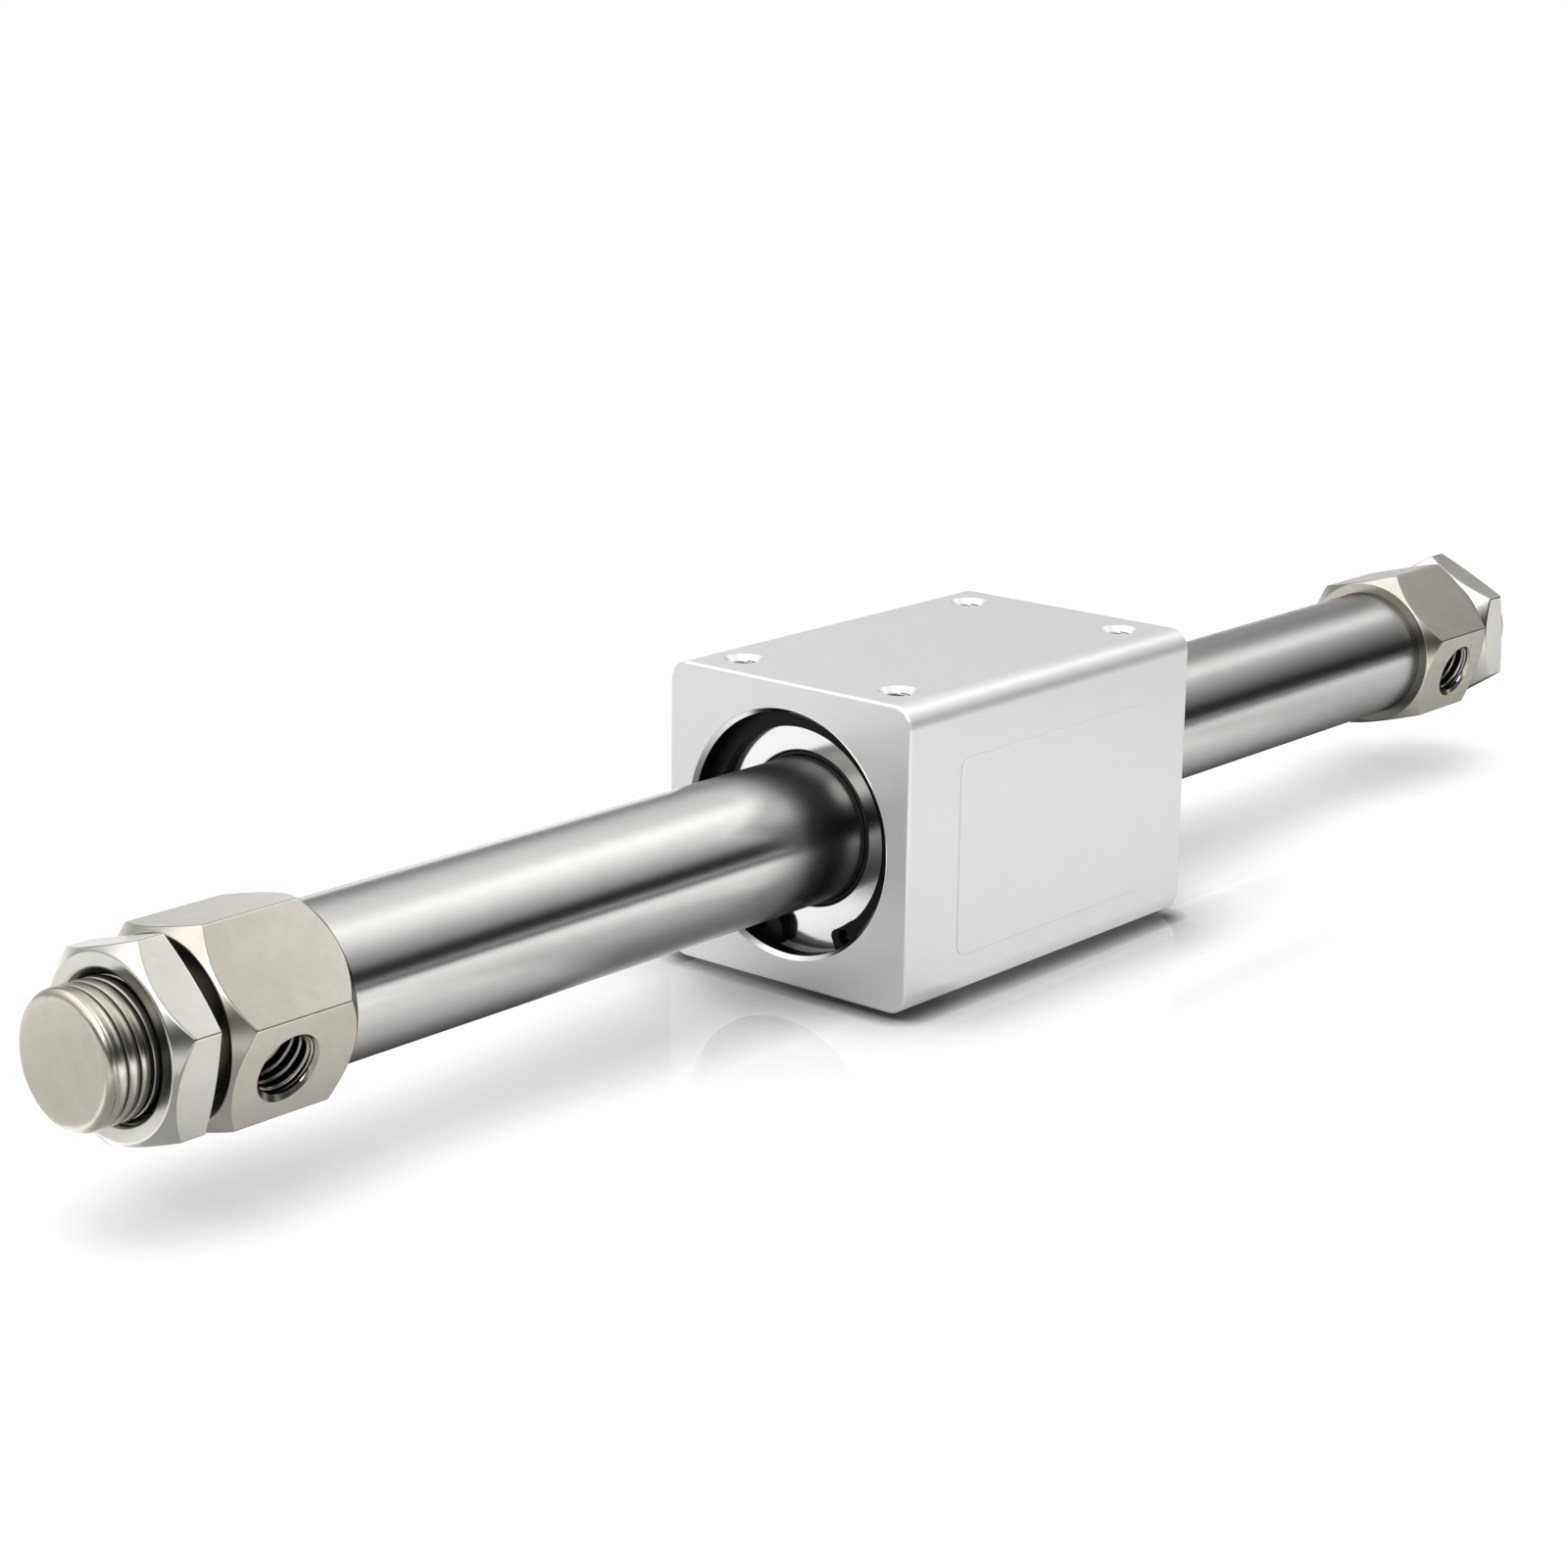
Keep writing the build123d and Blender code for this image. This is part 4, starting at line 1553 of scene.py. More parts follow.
    def _plate(self) -> bpy.types.Mesh:
        """Make the bare label plate: a thin rounded rectangle on the -Y side."""
        (x0, x1), (z0, z1) = self.plate_x, self.plate_z
        corner, soft, sunk = self.plate_corner, self.plate_soft, self.plate_sunk
        square = polygon_outline(4, 1.0 + corner, corner, 45.0, *self.plate_steps)
        spread = np.array([(x1 - x0) / 2 - corner, (z1 - z0) / 2 - corner])
        core = square.points - corner * square.normals
        base = core * spread
        middle = np.array([(x0 + x1) / 2 + SIZES.rest_x, (z0 + z1) / 2])

        def level(depth: float, inset: float) -> np.ndarray:
            """Outline of the plate at a depth in front of the slider's side."""
            flat = middle + base + (corner - inset) * square.normals
            return np.column_stack([flat[:, 0], np.full(len(flat), -self.half_width - depth), flat[:, 1]])

        centre = np.broadcast_to(np.array([middle[0], 0.0, middle[1]]), (len(base), 3))
        front = centre - np.array([0.0, self.half_width + self.plate_thickness, 0.0])
        back = centre - np.array([0.0, self.half_width - sunk, 0.0])
        rows = [front, level(self.plate_thickness, self.plate_ring), level(self.plate_thickness, soft),
                level(self.plate_thickness - soft, 0.0), level(-sunk, 0.0), back]
        return Shell().rings(np.stack(rows)).mesh("label_plate")


@dataclass
class RetainingRing:
    """Black sprung ring in the slider's bore.

    Of two values for the lugs or the ends, the first is for the end where the ring starts.

    Args:
        side: which end it is on.
        near: where its inner face lies, from the slider's middle.
        gap_from: where its gap starts, in degrees from -Y towards +Z.
        gap_to: where the gap ends.
        lug_reach: how far each lug stands in from the ring.
        lug_width: how far round each lug goes, in degrees.
        lug_slope: how softly a lug runs into the ring, in degrees.
        corner: radius of each end's inner corner.
        rounded: share of that corner taken off inside and outside.
        lug_angles: where the lugs' holes lie, in degrees from -Y towards +Z.
    """

    side: Side
    outer: float = 10.45
    inner: float = 8.55
    near: float = 16.4
    thickness: float = 1.0
    gap_from: float = -100.0
    gap_to: float = -66.0
    lug_reach: tuple[float, float] = (0.7, 0.15)
    lug_width: tuple[float, float] = (26.0, 18.0)
    lug_slope: float = 1.2
    corner: tuple[float, float] = (1.2, 0.5)
    rounded: tuple[float, float] = (0.96, 0.6)
    edge: float = 0.1
    columns: int = 321
    lug_hole: float = 0.6
    lug_hole_at: float = 9.25
    lug_angles: tuple[float, float] = (-114.0, -58.0)
    pin_half: float = 1.5
    pin_columns: int = 32

    def build(self, bench: Bench) -> None:
        """Make the ring: a flat section carried round from one lug to the other."""
        # the gap's angles run against the right-hand rule about +X
        start, end = 180.0 - self.gap_from, 180.0 - self.gap_to + 360.0
        share = 0.5 * (1.0 - np.cos(np.linspace(0.0, math.pi, self.columns)))
        turned = start + share * (end - start)
        swing = np.radians(turned)
        into = np.minimum(turned - start, end - turned)
        first = turned - start < end - turned
        pairs = (self.lug_reach, self.lug_width, self.corner)
        reach, width, corner = (np.where(first, *pair) for pair in pairs)
        bump = 1.0 / (1.0 + np.exp((into - width) / self.lug_slope))
        gone = np.clip(1.0 - np.radians(into) * self.lug_hole_at / corner, 0.0, 1.0)
        rounding = corner * (1.0 - np.sqrt(1.0 - gone**2)) * self.rounded[0]
        inner = self.inner - reach * bump + rounding
        outer = self.outer - self.rounded[1] * rounding
        near = SIZES.rest_x + self.side.value * self.near
        far = near + self.side.value * self.thickness

        def rail(x: float, radius: np.ndarray | float) -> np.ndarray:
            """Line along the ring at one edge of its section."""
            wide = np.broadcast_to(radius, swing.shape)
            return np.column_stack([np.full(len(swing), x), wide * np.cos(swing), wide * np.sin(swing)])

        section = np.stack([rail(near, inner), rail(near, outer), rail(far, outer), rail(far, inner)])
        rails = softened(section, self.edge, True)
        middle = rails.mean(axis=0, keepdims=True)
        shell = Shell().rings(rails, closed=True, round_trip=False)
        for column in (0, -1):
            cap = np.stack([rails[:, column], np.broadcast_to(middle[:, column], rails[:, column].shape)])
            shell.rings(cap)
        mesh = shell.mesh(f"{self.side.label}_snap_ring")
        cutters = [self._lug_hole(angle, near) for angle in self.lug_angles]
        bench.place(carved(mesh, cutters), Body.SLIDER, "ring_black", f"{self.side.label}_retaining_ring")

    def _lug_hole(self, angle: float, near: float) -> bpy.types.Mesh:
        """Make the cutter of a lug's plier hole."""
        turned = math.radians(180.0 - angle)
        circle = round_outline(self.pin_columns).circle
        middle = near + self.side.value * self.thickness / 2
        pin = oblong(-self.pin_half, self.pin_half, 0.0, self.lug_hole)
        shift = np.array([middle, self.lug_hole_at * math.cos(turned), self.lug_hole_at * math.sin(turned)])
        rings = np.stack([circle(x, radius) for x, radius in pin])
        return Shell().rings(rings).mesh("lug_cutter", None, shift)


@dataclass
class SliderCartridges:
    """Magnet stack, spacers, and the guide and seal rings inside the slider.

    Args:
        spacer_hole: radius of the hole in the spacer's lip.
        spacer_lip: thickness of that lip.
        pocket: radius of the spacer's pocket.
        foot_length: length of the scraper's foot in the pocket.
        foot_gap: gap between the foot and the tube.
        lip_gap: gap between the scraper's lip and the spacer's.
        stack_gap: gap between the tube and the magnets.
    """

    spacer_hole: float = 6.4
    spacer_lip: float = 1.0
    pocket: float = 7.6
    wear_length: float = 3.2
    lube_length: float = 0.9
    foot_length: float = 0.9
    foot_gap: float = 0.45
    lip_gap: float = 0.08
    stack_gap: float = 0.5

    def build(self, bench: Bench) -> None:
        """Make every turned piece inside the slider."""
        play, tube, bore = SIZES.end_play, SIZES.tube_radius, SIZES.slider_bore
        slide = tube + SIZES.running_gap
        pocket = self.pocket - SIZES.running_gap
        start, end = SIZES.stack_half, SIZES.spacer_end
        lip = end - self.spacer_lip
        wear_from = start + play
        wear_to = wear_from + self.wear_length
        lube_from = wear_to + play
        lube_to = lube_from + self.lube_length
        foot_from = lube_to + play
        foot_to = foot_from + self.foot_length
        scraper_lip = self.spacer_hole - self.lip_gap
        spacer = [(start, self.pocket), (start, bore), (end, bore), (end, self.spacer_hole),
                  (lip, self.spacer_hole), (lip, self.pocket)]
        scraper = [(foot_from, tube + self.foot_gap), (foot_from, pocket), (foot_to, pocket),
                   (foot_to, scraper_lip), (end - play, scraper_lip), (end - play, slide)]
        parts = (
            ("spacer", Body.SLIDER, "spacer_nickel", spacer, 0.12, 160),
            ("outer_wear_ring", Body.GLIDE, "wear_resin", oblong(wear_from, wear_to, slide, pocket)),
            ("lube_retainer", Body.GLIDE, "lube_felt", oblong(lube_from, lube_to, slide, pocket), 0.15),
            ("scraper", Body.GLIDE, "scraper_rubber", scraper, 0.06),
        )
        for side in Side:
            for kind, body, slot, profile, *fineness in parts:
                node = f"{side.label}_{kind}"
                TurnedPiece(node, body, slot, on_side(side, profile), *fineness).build(bench)
        MagnetStack("outer", Body.SLIDER, tube + self.stack_gap, bore).build(bench)


@dataclass
class MagnetStack:
    """Four yokes with three magnets between them.

    Args:
        label: name used in the CAD nodes.
        body: the body that the stack rides on.
        inside: bore radius.
        outside: outer radius.
        yokes: number of yokes.
    """

    label: str
    body: Body
    inside: float
    outside: float
    yokes: int = 4

    def build(self, bench: Bench) -> None:
        """Make the discs in order along the tube."""
        step = SIZES.yoke_length + SIZES.magnet_length
        for number in range(self.yokes):
            start = SIZES.rest_x - SIZES.stack_half + number * step
            self._disc(bench, f"yoke_{number + 1}", "yoke_steel", start, SIZES.yoke_length)
            if number < self.yokes - 1:
                magnet = f"magnet_{number + 1}"
                self._disc(bench, magnet, "magnet_plate", start + SIZES.yoke_length, SIZES.magnet_length)

    def _disc(self, bench: Bench, kind: str, slot: str, start: float, length: float) -> None:
        """Make one disc."""
        profile = oblong(start, start + length, self.inside, self.outside)
        TurnedPiece(f"{self.label}_{kind}", self.body, slot, profile, 0.12).build(bench)


@dataclass
class PistonSet:
    """The piston that the slider follows.

    Args:
        seal_groove: where the seal's groove starts and ends in the head, and its floor's radius.
        wear_groove: the same for the wear ring's.
        pocket_depth: how deep the nut's pocket is.
        pocket_gap: gap between that pocket and the nut's corners.
        nut_flats: width of the nut across its flats.
        nut_corner: radius of the nut's corners, and the inset of its round edge.
        nut_cone: length of the corners' cone.
        nut_steps: columns along one of the nut's flats and steps round a corner.
    """

    shaft_radius: float = 1.5
    shaft_half: float = 15.5
    head_radius: float = 4.7
    head_length: float = 5.9
    seal_groove: tuple[float, float, float] = (1.3, 3.1, 3.9)
    wear_groove: tuple[float, float, float] = (3.7, 5.1, 4.25)
    pocket_depth: float = 2.1
    nut_flats: float = 5.5
    nut_thickness: float = 1.6
    nut_corner: float = 0.1
    nut_cone: float = 0.25
    nut_edge: float = 0.04
    nut_steps: tuple[int, int] = (8, 4)
    pocket_gap: float = 0.12

    def build(self, bench: Bench) -> None:
        """Make the shaft, the heads with their rings and nuts, and the inner magnets."""
        mid = SIZES.rest_x
        shaft = oblong(mid - self.shaft_half, mid + self.shaft_half, 0.0, self.shaft_radius)
        TurnedPiece("piston_shaft", Body.PISTON, "shaft_steel", shaft, 0.2, 64).build(bench)
        head, end = SIZES.stack_half, SIZES.stack_half + self.head_length
        running = SIZES.bore_radius - SIZES.running_gap
        pocket_radius = self.nut_flats / math.sqrt(3.0) + self.pocket_gap
        pocket_from = end - self.pocket_depth
        seal_from, seal_to = (head + x for x in self.seal_groove[:2])
        wear_from, wear_to = (head + x for x in self.wear_groove[:2])
        seal_floor, wear_floor = self.seal_groove[2], self.wear_groove[2]
        rim, shaft_radius = self.head_radius, self.shaft_radius
        piston = [
            (head, shaft_radius), (head, rim), (seal_from, rim), (seal_from, seal_floor),
            (seal_to, seal_floor), (seal_to, rim), (wear_from, rim), (wear_from, wear_floor),
            (wear_to, wear_floor), (wear_to, rim), (end, rim), (end, pocket_radius),
            (pocket_from, pocket_radius), (pocket_from, shaft_radius),
        ]
        # a lip seal: a base on the groove's floor and a lip that leans out to the bore
        seal = [
            (seal_from, seal_floor), (seal_to, seal_floor), (seal_to, seal_floor + 0.3),
            (seal_from + 0.8, seal_floor + 0.45), (seal_to - 0.15, running), (seal_to - 0.5, running),
            (seal_from, seal_floor + 0.7),
        ]
        parts = (
            ("piston", "piston_aluminium", piston, 0.06),
            ("piston_seal", "seal_rubber", seal, 0.05),
            ("piston_wear_ring", "wear_resin", oblong(wear_from, wear_to, wear_floor, running), 0.08),
        )
        for side in Side:
            for kind, slot, profile, edge in parts:
                node = f"{side.label}_{kind}"
                TurnedPiece(node, Body.PISTON, slot, on_side(side, profile), edge).build(bench)
            self._nut(side, mid + side.value * pocket_from, bench)
        MagnetStack("inner", Body.PISTON, self.shaft_radius, self.head_radius).build(bench)

    def _nut(self, side: Side, near: float, bench: Bench) -> None:
        """Make one piston nut with chamfered corners.

        Args:
            side: which end it is on.
            near: station of its seated face.
            bench: makes the piece.
        """
        apothem = self.nut_flats / 2
        outline = polygon_outline(6, apothem, self.nut_corner, 0.0, *self.nut_steps)
        face, cone = cone_edge(outline, apothem, (self.nut_corner, self.nut_cone))
        far = near + side.value * self.nut_thickness
        rows = [
            outline.circle(near, self.shaft_radius),
            outline.ring(near),
            outline.ring(far - side.value * cone),
            outline.circle(far, face),
            outline.circle(far, self.shaft_radius),
        ]
        rings = softened(np.stack(rows), self.nut_edge, True)
        mesh = Shell().rings(rings, closed=True).mesh(f"{side.label}_piston_hexagon")
        bench.place(mesh, Body.PISTON, "shaft_steel", f"{side.label}_piston_nut")


# Studio

RAMP_SCALE = 0.5  # what a ramp's tones are scaled by, so that tones above 1 fit
FLOOR_REACH = (-0.4, 0.1)  # the stretch of Y that the floor's tones are laid out over
FRAME_PX = 1600.0
SENSOR_MM = 36.0


@dataclass(frozen=True)
class FloorZone:
    """Painted light and shade that gloss sees on a stretch of the floor.

    Args:
        reach: X where the zone starts, is full, stops being full and ends.
        stops: Y and tone.
    """

    reach: tuple[float, float, float, float]
    stops: Stops

    def share(self, nodes: Nodes, x: Socket) -> Socket:
        """Mask of the zone: a smooth rise times a smooth fall."""
        start, full, fades, end = self.reach
        return nodes.math("MULTIPLY", nodes.fade(x, start, full), nodes.fade(x, fades, end, 1.0, 0.0))


# painted light and shade of the floor as reflections show it, darkest under the tube
FLOOR_ZONES = (
    FloorZone((-9.0, -8.0, 8.0, 9.0), (
        (-0.4, 0.25), (-0.2, 0.85), (-0.1, 1.25), (-0.06, 1.35), (-0.036, 1.08), (-0.017, 0.95),
        (-0.008, 0.58), (-0.002, 0.18), (0.004, 0.05), (0.012, 0.12), (0.025, 0.7), (0.045, 1.0),
        (0.1, 1.05))),
    FloorZone((0.055, 0.08, 8.0, 9.0), (
        (-0.4, 0.01), (-0.2, 0.05), (-0.1, 0.75), (-0.06, 1.1), (-0.045, 0.9), (-0.017, 0.7),
        (-0.008, 0.42), (-0.002, 0.2), (0.004, 0.08), (0.02, 0.5), (0.045, 0.9), (0.1, 1.0))),
    FloorZone((-0.042, -0.034, -0.012, -0.008), (
        (-0.4, 0.25), (-0.2, 0.85), (-0.1, 1.2), (-0.06, 1.25), (-0.036, 1.0), (-0.017, 0.6),
        (-0.008, 0.25), (-0.002, 0.18), (0.003, 0.55), (0.009, 1.0), (0.02, 1.05), (0.1, 1.05))),
    FloorZone((-0.078, -0.072, -0.045, -0.036), (
        (-0.4, 0.9), (-0.1, 1.8), (-0.04, 1.7), (-0.03, 1.04), (-0.017, 0.96), (-0.008, 0.58),
        (-0.002, 0.18), (0.004, 0.05), (0.012, 0.12), (0.025, 0.52), (0.045, 1.0), (0.06, 1.2),
        (0.1, 1.2))),
    FloorZone((-0.118, -0.112, -0.084, -0.076), (
        (-0.4, 0.12), (-0.1, 0.9), (-0.045, 0.8), (-0.03, 0.4), (-0.014, 0.4), (0.0, 0.45),
        (0.003, 0.75), (0.007, 1.75), (0.014, 0.8), (0.03, 0.76), (0.04, 1.05), (0.1, 1.05))),
    FloorZone((-9.0, -8.0, -0.118, -0.112), (
        (-0.4, 0.03), (-0.12, 0.3), (-0.08, 0.6), (-0.05, 0.9), (-0.024, 1.0), (0.0, 0.75),
        (0.02, 0.74), (0.033, 0.76), (0.042, 1.05), (0.1, 1.05))),
)


@dataclass(frozen=True)
class Lamp:
    """Round soft lamp that points at the object and that gloss doesn't see.

    Args:
        name: name of the lamp.
        place: where it hangs, in metres.
        size: its diameter in metres.
        power: its power in watts.
    """

    name: str
    place: tuple[float, float, float]
    size: float
    power: float

    def hang(self) -> None:
        """Make the lamp."""
        data = bpy.data.lights.new(self.name, "AREA")
        data.shape, data.size, data.energy = "DISK", self.size, self.power
        lamp = linked(self.name, data)
        lamp.location = self.place
        lamp.rotation_euler = (-Vector(self.place)).to_track_quat("-Z", "Y").to_euler()
        lamp.visible_glossy = False


@dataclass
class Studio:
    """Camera, floor and light.

    The dome is what gloss sees of the room. Each of its four bands gives tones by the direction's
    angle across the tube, in degrees from +Y over the top to -Y, and the direction's X says which
    band counts. Where a field holds two values of X, the change between two looks runs from the
    first to the second.

    Args:
        camera_at: the camera's place in millimetres.
        azimuth: the camera's turn about Z, in radians, 0 where it looks along +Y.
        elevation: its height above the horizon, in radians.
        roll: its turn about its own axis, in radians.
        lens_px: focal length in pixels of the frame.
        floor_z: the floor's height in millimetres.
        paper: tone of the floor's paper.
        paper_lift: light that the paper gives off where no shadow falls.
        contact_reach: reach of the wide and the tight shadow, in millimetres.
        contact_power: how dark each of them is.
        contact_aside: the wide shadow's power away from the slider.
        aside_x: distance from the middle along X where that power takes over, in metres.
        white_out: distance from the middle where the paper turns white, in metres.
        floor_sheen: share of a mirror in the paper near the slider.
        sheen_out: distance from the middle where the sheen fades, in metres.
        fill: tone of the room for light that isn't mirrored.
        right_x: direction's X where dome_right takes over from dome_left.
        end_x: direction's X where dome_end gives way to both.
        behind_x: direction's X where dome_behind takes over.
        flank_x: direction's X where the dome darkens beyond the near end.
        flank_tone: what is left of its tone there.
        spot_towards: direction of the bright spot.
        spot_edge: cosines of the angles from that direction where the spot starts and is full.
        spot_tone: tone of the spot.
    """

    camera_at: tuple[float, float, float] = (-215.611, -166.882, 75.123)
    azimuth: float = -0.868364052
    elevation: float = 0.267676249
    roll: float = 0.0136158326
    lens_px: float = 3441.22585
    clip: tuple[float, float] = (0.005, 20.0)
    floor_half: float = 4.0
    floor_z: float = -12.9
    paper: float = 0.45
    paper_lift: float = 0.73
    contact_reach: tuple[float, float] = (10.0, 2.0)
    contact_power: tuple[float, float] = (1.3, 2.2)
    contact_aside: float = 0.56
    contact_rays: int = 8
    aside_x: tuple[float, float] = (0.02, 0.032)
    white_out: tuple[float, float] = (0.13, 0.45)
    floor_sheen: float = 0.22
    sheen_out: tuple[float, float] = (0.03, 0.06)
    fill: float = 0.42
    dome_left: Stops = (
        (0.0, 1.9), (6.0, 1.6), (12.0, 0.35), (20.0, 0.2), (35.0, 0.55), (53.0, 0.95), (77.0, 1.25),
        (97.0, 2.15), (113.0, 1.95), (132.0, 1.5), (149.0, 0.8), (160.0, 0.08), (166.0, 0.01),
        (172.0, 0.06), (180.0, 1.0),
    )
    dome_end: Stops = (
        (0.0, 1.0), (8.0, 0.8), (20.0, 0.25), (40.0, 0.4), (60.0, 0.8), (97.0, 1.1), (113.0, 0.8),
        (122.0, 0.56), (130.0, 0.3), (140.0, 0.06), (180.0, 0.03),
    )
    dome_right: Stops = (
        (0.0, 0.9), (8.0, 0.6), (18.0, 0.12), (26.0, 0.34), (38.0, 0.2), (53.0, 0.08), (70.0, 0.2),
        (80.0, 0.6), (88.0, 0.85), (97.0, 1.0), (106.0, 0.5), (115.0, 0.2), (132.0, 0.06),
        (149.0, 0.0), (166.0, 0.02), (180.0, 0.0),
    )
    dome_behind: Stops = (
        (0.0, 0.4), (15.0, 0.5), (35.0, 0.9), (45.0, 1.4), (52.0, 1.7), (90.0, 1.5), (125.0, 1.4),
        (140.0, 0.9), (152.0, 0.3), (160.0, 0.05), (180.0, 0.04),
    )
    right_x: tuple[float, float] = (0.75, 0.782)
    end_x: tuple[float, float] = (0.605, 0.65)
    behind_x: tuple[float, float] = (0.25, -0.05)
    flank_x: tuple[float, float] = (-0.87, -0.95)
    flank_tone: float = 0.08
    spot_towards: tuple[float, float, float] = (-0.635, -0.348, 0.689)
    spot_edge: tuple[float, float] = (0.94, 0.985)
    spot_tone: float = 4.0
    lamps: tuple[Lamp, ...] = (
        Lamp("overhead", (-0.05, 0.05, 0.75), 0.9, 3.8),
        Lamp("left_soft", (-0.8, -0.15, 0.55), 0.6, 2.0),
        Lamp("front_soft", (-0.1, -0.8, 0.45), 0.8, 1.7),
    )

    def build(self) -> None:
        """Set up the view and everything that isn't the object."""
        self._camera()
        self._floor()
        self._world()
        for lamp in self.lamps:
            lamp.hang()
        bpy.context.scene.view_settings.view_transform = "Standard"

    def _camera(self) -> None:
        """Put the camera where the photo was taken from."""
        a, e, c = self.azimuth, self.elevation, self.roll
        back = Vector((math.sin(a) * math.cos(e), -math.cos(a) * math.cos(e), math.sin(e)))
        across = Vector((0.0, 0.0, 1.0)).cross(back).normalized()
        up = back.cross(across)
        x_axis = math.cos(c) * across + math.sin(c) * up
        y_axis = -math.sin(c) * across + math.cos(c) * up
        data = bpy.data.cameras.new("camera")
        data.sensor_width = SENSOR_MM
        data.lens = self.lens_px / FRAME_PX * SENSOR_MM
        data.clip_start, data.clip_end = self.clip
        camera = linked("camera", data)
        pose = Matrix((x_axis, y_axis, back)).transposed().to_4x4()
        pose.translation = Vector(self.camera_at) * MM
        camera.matrix_world = pose
        bpy.context.scene.camera = camera

    def _floor(self) -> None:
        """Lay a floor of plain paper, which the camera and gloss each see in their own way."""
        half, height = self.floor_half, self.floor_z * MM
        mesh = bpy.data.meshes.new("floor")
        corners = [(-half, -half, height), (half, -half, height), (half, half, height), (-half, half, height)]
        mesh.from_pydata(corners, [], [(0, 1, 2, 3)])
        floor = linked("floor", mesh)
        made, nodes = new_material("pale_floor")
        path = nodes.make("ShaderNodeLightPath").outputs
        place = nodes.make("ShaderNodeTexCoord").outputs["Object"]
        parts = nodes.make("ShaderNodeSeparateXYZ", Vector=place).outputs
        plain = nodes.make("ShaderNodeBsdfDiffuse", Color=grey(self.paper)).outputs[0]
        seen = nodes.blend_shaders(path["Is Camera Ray"], plain, self._paper(nodes, place, parts["X"]))
        both = nodes.blend_shaders(path["Is Glossy Ray"], seen, self._mirrored(nodes, parts["X"], parts["Y"]))
        nodes.make("ShaderNodeOutputMaterial", Surface=both)
        mesh.materials.append(made)

    def _paper(self, nodes: Nodes, place: Socket, x: Socket) -> Socket:
        """Floor as the camera sees it: it keeps the object's soft shadow and turns white further out.

        Args:
            nodes: where it is laid out.
            place: Object coordinates.
            x: their X.

        Returns:
            The shader socket.
        """
        out = nodes.make("ShaderNodeVectorMath", {"operation": "LENGTH"}, Vector=place).outputs["Value"]
        wide_power, tight_power = self.contact_power
        from_middle = nodes.math("ABSOLUTE", x)
        aside = nodes.fade(from_middle, *self.aside_x, wide_power, self.contact_aside)
        wide, tight = (
            nodes.math("POWER", self._open_sky(nodes, reach), power)
            for reach, power in zip(self.contact_reach, (aside, tight_power))
        )
        clear = nodes.math("MULTIPLY", wide, tight)
        shown, given_off = (nodes.math("MULTIPLY", clear, most) for most in (self.paper, self.paper_lift))
        tone = nodes.make("ShaderNodeCombineColor", {"mode": "HSV"}, at2=shown).outputs[0]
        paper = nodes.make("ShaderNodeBsdfDiffuse", Color=tone).outputs[0]
        lift = nodes.make("ShaderNodeEmission", Strength=given_off).outputs[0]
        matt = nodes.make("ShaderNodeAddShader", at0=paper, at1=lift).outputs[0]
        sheen = nodes.make("ShaderNodeBsdfGlossy", Color=grey(1.0), Roughness=0.0).outputs[0]
        white = nodes.make("ShaderNodeEmission", Strength=1.0).outputs[0]
        near = nodes.blend_shaders(nodes.fade(out, *self.sheen_out, self.floor_sheen, 0.0), matt, sheen)
        return nodes.blend_shaders(nodes.fade(out, *self.white_out), near, white)

    def _open_sky(self, nodes: Nodes, reach: float) -> Socket:
        """How little stands round a place, 0 to 1, within a reach in millimetres."""
        rays = {"samples": self.contact_rays}
        return nodes.make("ShaderNodeAmbientOcclusion", rays, Distance=reach * MM).outputs["AO"]

    def _mirrored(self, nodes: Nodes, x: Socket, y: Socket) -> Socket:
        """Floor as gloss sees it: painted tones with a painted shadow that darkens towards the tube, in its
        own way in each zone.

        Args:
            nodes: where it is laid out.
            x: X of the place.
            y: its Y.

        Returns:
            The shader socket.
        """
        near, far = FLOOR_REACH
        across = nodes.remap(y, near, far)
        everywhere, *others = (
            self._ramp(nodes, across, [((at - near) / (far - near), value) for at, value in zone.stops])
            for zone in FLOOR_ZONES
        )
        tone = everywhere
        for zone, ramp in zip(FLOOR_ZONES[1:], others):
            tone = nodes.blend(zone.share(nodes, x), tone, ramp)
        return nodes.make("ShaderNodeEmission", Color=tone, Strength=1.0 / RAMP_SCALE).outputs[0]

    @staticmethod
    def _ramp(nodes: Nodes, place: Socket, stops: Profile) -> Socket:
        """Grey ramp through stops, scaled down so that tones above 1 fit.

        Args:
            nodes: where it is laid out.
            place: what it runs along, 0 to 1.
            stops: position and value.

        Returns:
            The colour socket.
        """
        ramp = nodes.make("ShaderNodeValToRGB", Fac=place)
        elements = ramp.color_ramp.elements
        for item, (position, value) in zip(list(elements), (stops[0], stops[-1])):
            item.position, item.color = position, grey(value * RAMP_SCALE)
        for position, value in stops[1:-1]:
            elements.new(position).color = grey(value * RAMP_SCALE)
        return ramp.outputs[0]

    def _world(self) -> None:
        """Light the room: white to the camera, the dome to gloss and an even fill to the rest."""
        world = bpy.data.worlds.new("studio")
        bpy.context.scene.world = world
        world.use_nodes = True
        world.node_tree.nodes.clear()
        nodes = Nodes(world.node_tree)
        path = nodes.make("ShaderNodeLightPath").outputs
        dome, fill, white = (
            nodes.make("ShaderNodeBackground", Color=color, Strength=strength).outputs[0]
            for color, strength in (self._dome(nodes), (grey(1.0), self.fill), (grey(1.0), 1.0))
        )
        inner = nodes.blend_shaders(path["Is Glossy Ray"], fill, dome)
        outer = nodes.blend_shaders(path["Is Camera Ray"], inner, white)
        nodes.make("ShaderNodeOutputWorld", Surface=outer)

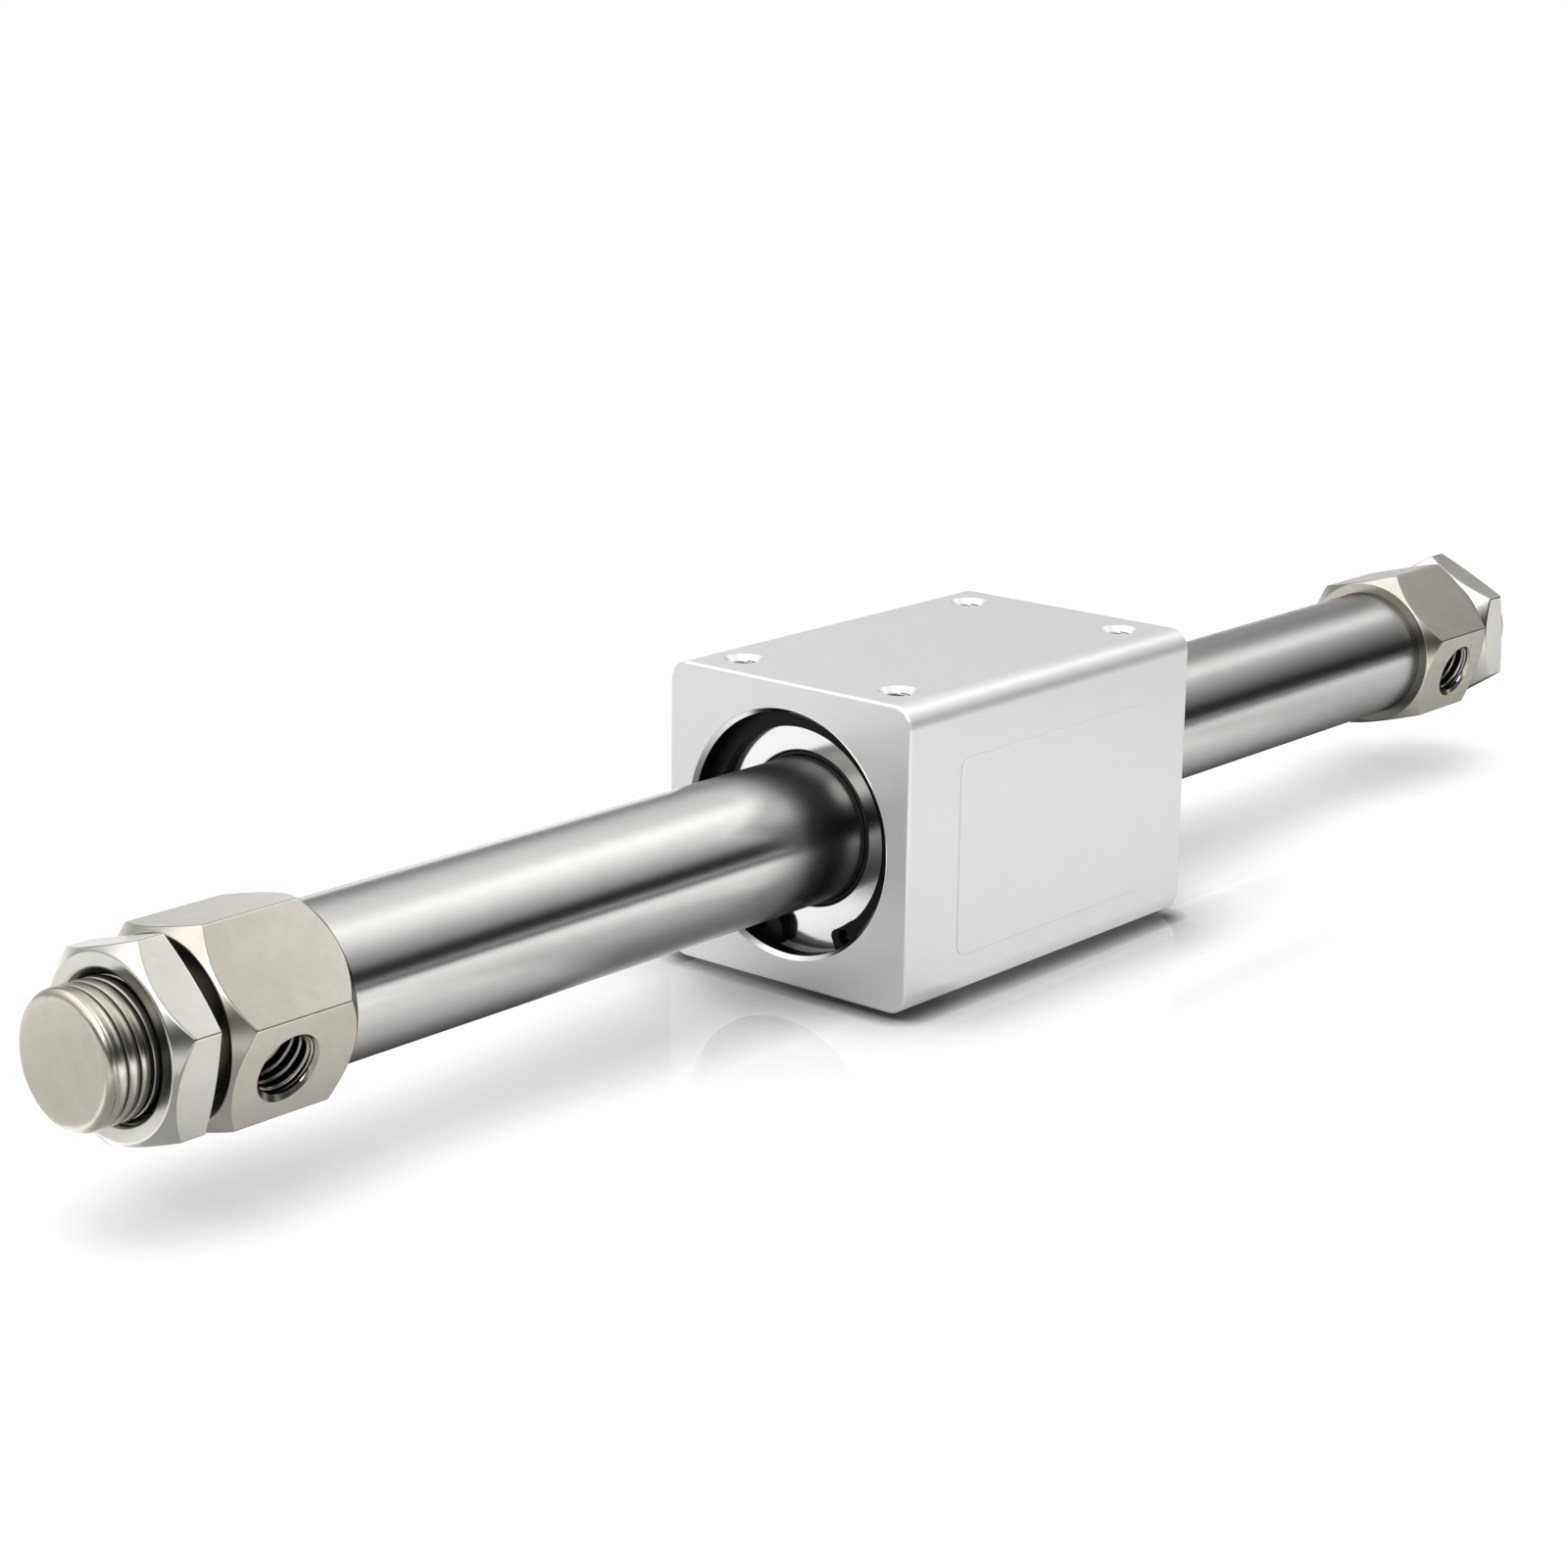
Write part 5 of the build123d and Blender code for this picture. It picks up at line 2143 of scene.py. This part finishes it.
    def _dome(self, nodes: Nodes) -> tuple[Socket, Socket]:
        """Blend the dome's bands and its bright spot.

        Args:
            nodes: where it is laid out.

        Returns:
            The colour and the strength socket.
        """
        ray = nodes.make("ShaderNodeTexCoord").outputs["Generated"]
        parts = nodes.make("ShaderNodeSeparateXYZ", Vector=ray).outputs
        share = nodes.math("DIVIDE", nodes.math("ARCTAN2", parts["Z"], parts["Y"]), math.pi)
        left, right, behind, end = (
            self._ramp(nodes, share, [(angle / 180.0, value) for angle, value in stops])
            for stops in (self.dome_left, self.dome_right, self.dome_behind, self.dome_end)
        )
        tone = nodes.blend(nodes.fade(parts["X"], *self.right_x), left, right)
        tone = nodes.blend(nodes.fade(parts["X"], *self.end_x), end, tone)
        tone = nodes.blend(nodes.fade(parts["X"], *self.behind_x), tone, behind)
        aim = nodes.make("ShaderNodeVectorMath", {"operation": "DOT_PRODUCT"}, at0=ray, at1=self.spot_towards)
        spot = nodes.fade(aim.outputs["Value"], *self.spot_edge)
        tone = nodes.blend(spot, tone, grey(self.spot_tone * RAMP_SCALE))
        flank = nodes.fade(parts["X"], *self.flank_x, 1.0, self.flank_tone)
        return tone, nodes.math("DIVIDE", flank, RAMP_SCALE)


# Putting it together


@dataclass(frozen=True)
class EndFit:
    """How one end was screwed together.

    Args:
        cover_turn: angle from -Y up to the cover's nearest corner, in degrees.
        nut_turn: the same for the nut.
        nut_near: station of the nut's face next to the cover.
        near_edge: inset of that face's round edge, and its cone's length at a corner.
        far_edge: the same for the nut's other face.
    """

    cover_turn: float
    nut_turn: float
    nut_near: float
    near_edge: tuple[float, float]
    far_edge: tuple[float, float]


DEEP_EDGE = (0.25, 1.15)
SHALLOW_EDGE = (0.5, 0.35)
END_FITS = {
    Side.LEFT: EndFit(10.5, 15.2, 82.4, SHALLOW_EDGE, DEEP_EDGE),
    Side.RIGHT: EndFit(15.0, 34.0, 82.15, DEEP_EDGE, SHALLOW_EDGE),
}


def main() -> None:
    """Build the studio and every sub-assembly in order."""
    logging.basicConfig(level=logging.INFO, format="%(name)s: %(message)s")
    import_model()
    Studio().build()
    bench = Bench(Wardrobe())
    Barrel().build(bench)
    for side, fit in END_FITS.items():
        HeadCover(side, 180.0 - fit.cover_turn).build(bench)
    for side, fit in END_FITS.items():
        nut = MountingNut(side, 180.0 - fit.nut_turn, fit.nut_near, fit.near_edge, fit.far_edge)
        nut.build(bench)
    SliderBlock().build(bench)
    for side in Side:
        RetainingRing(side).build(bench)
    SliderCartridges().build(bench)
    PistonSet().build(bench)
    LOG.info("%d pieces", len(bench.made))


if __name__ == "__main__":
    main()
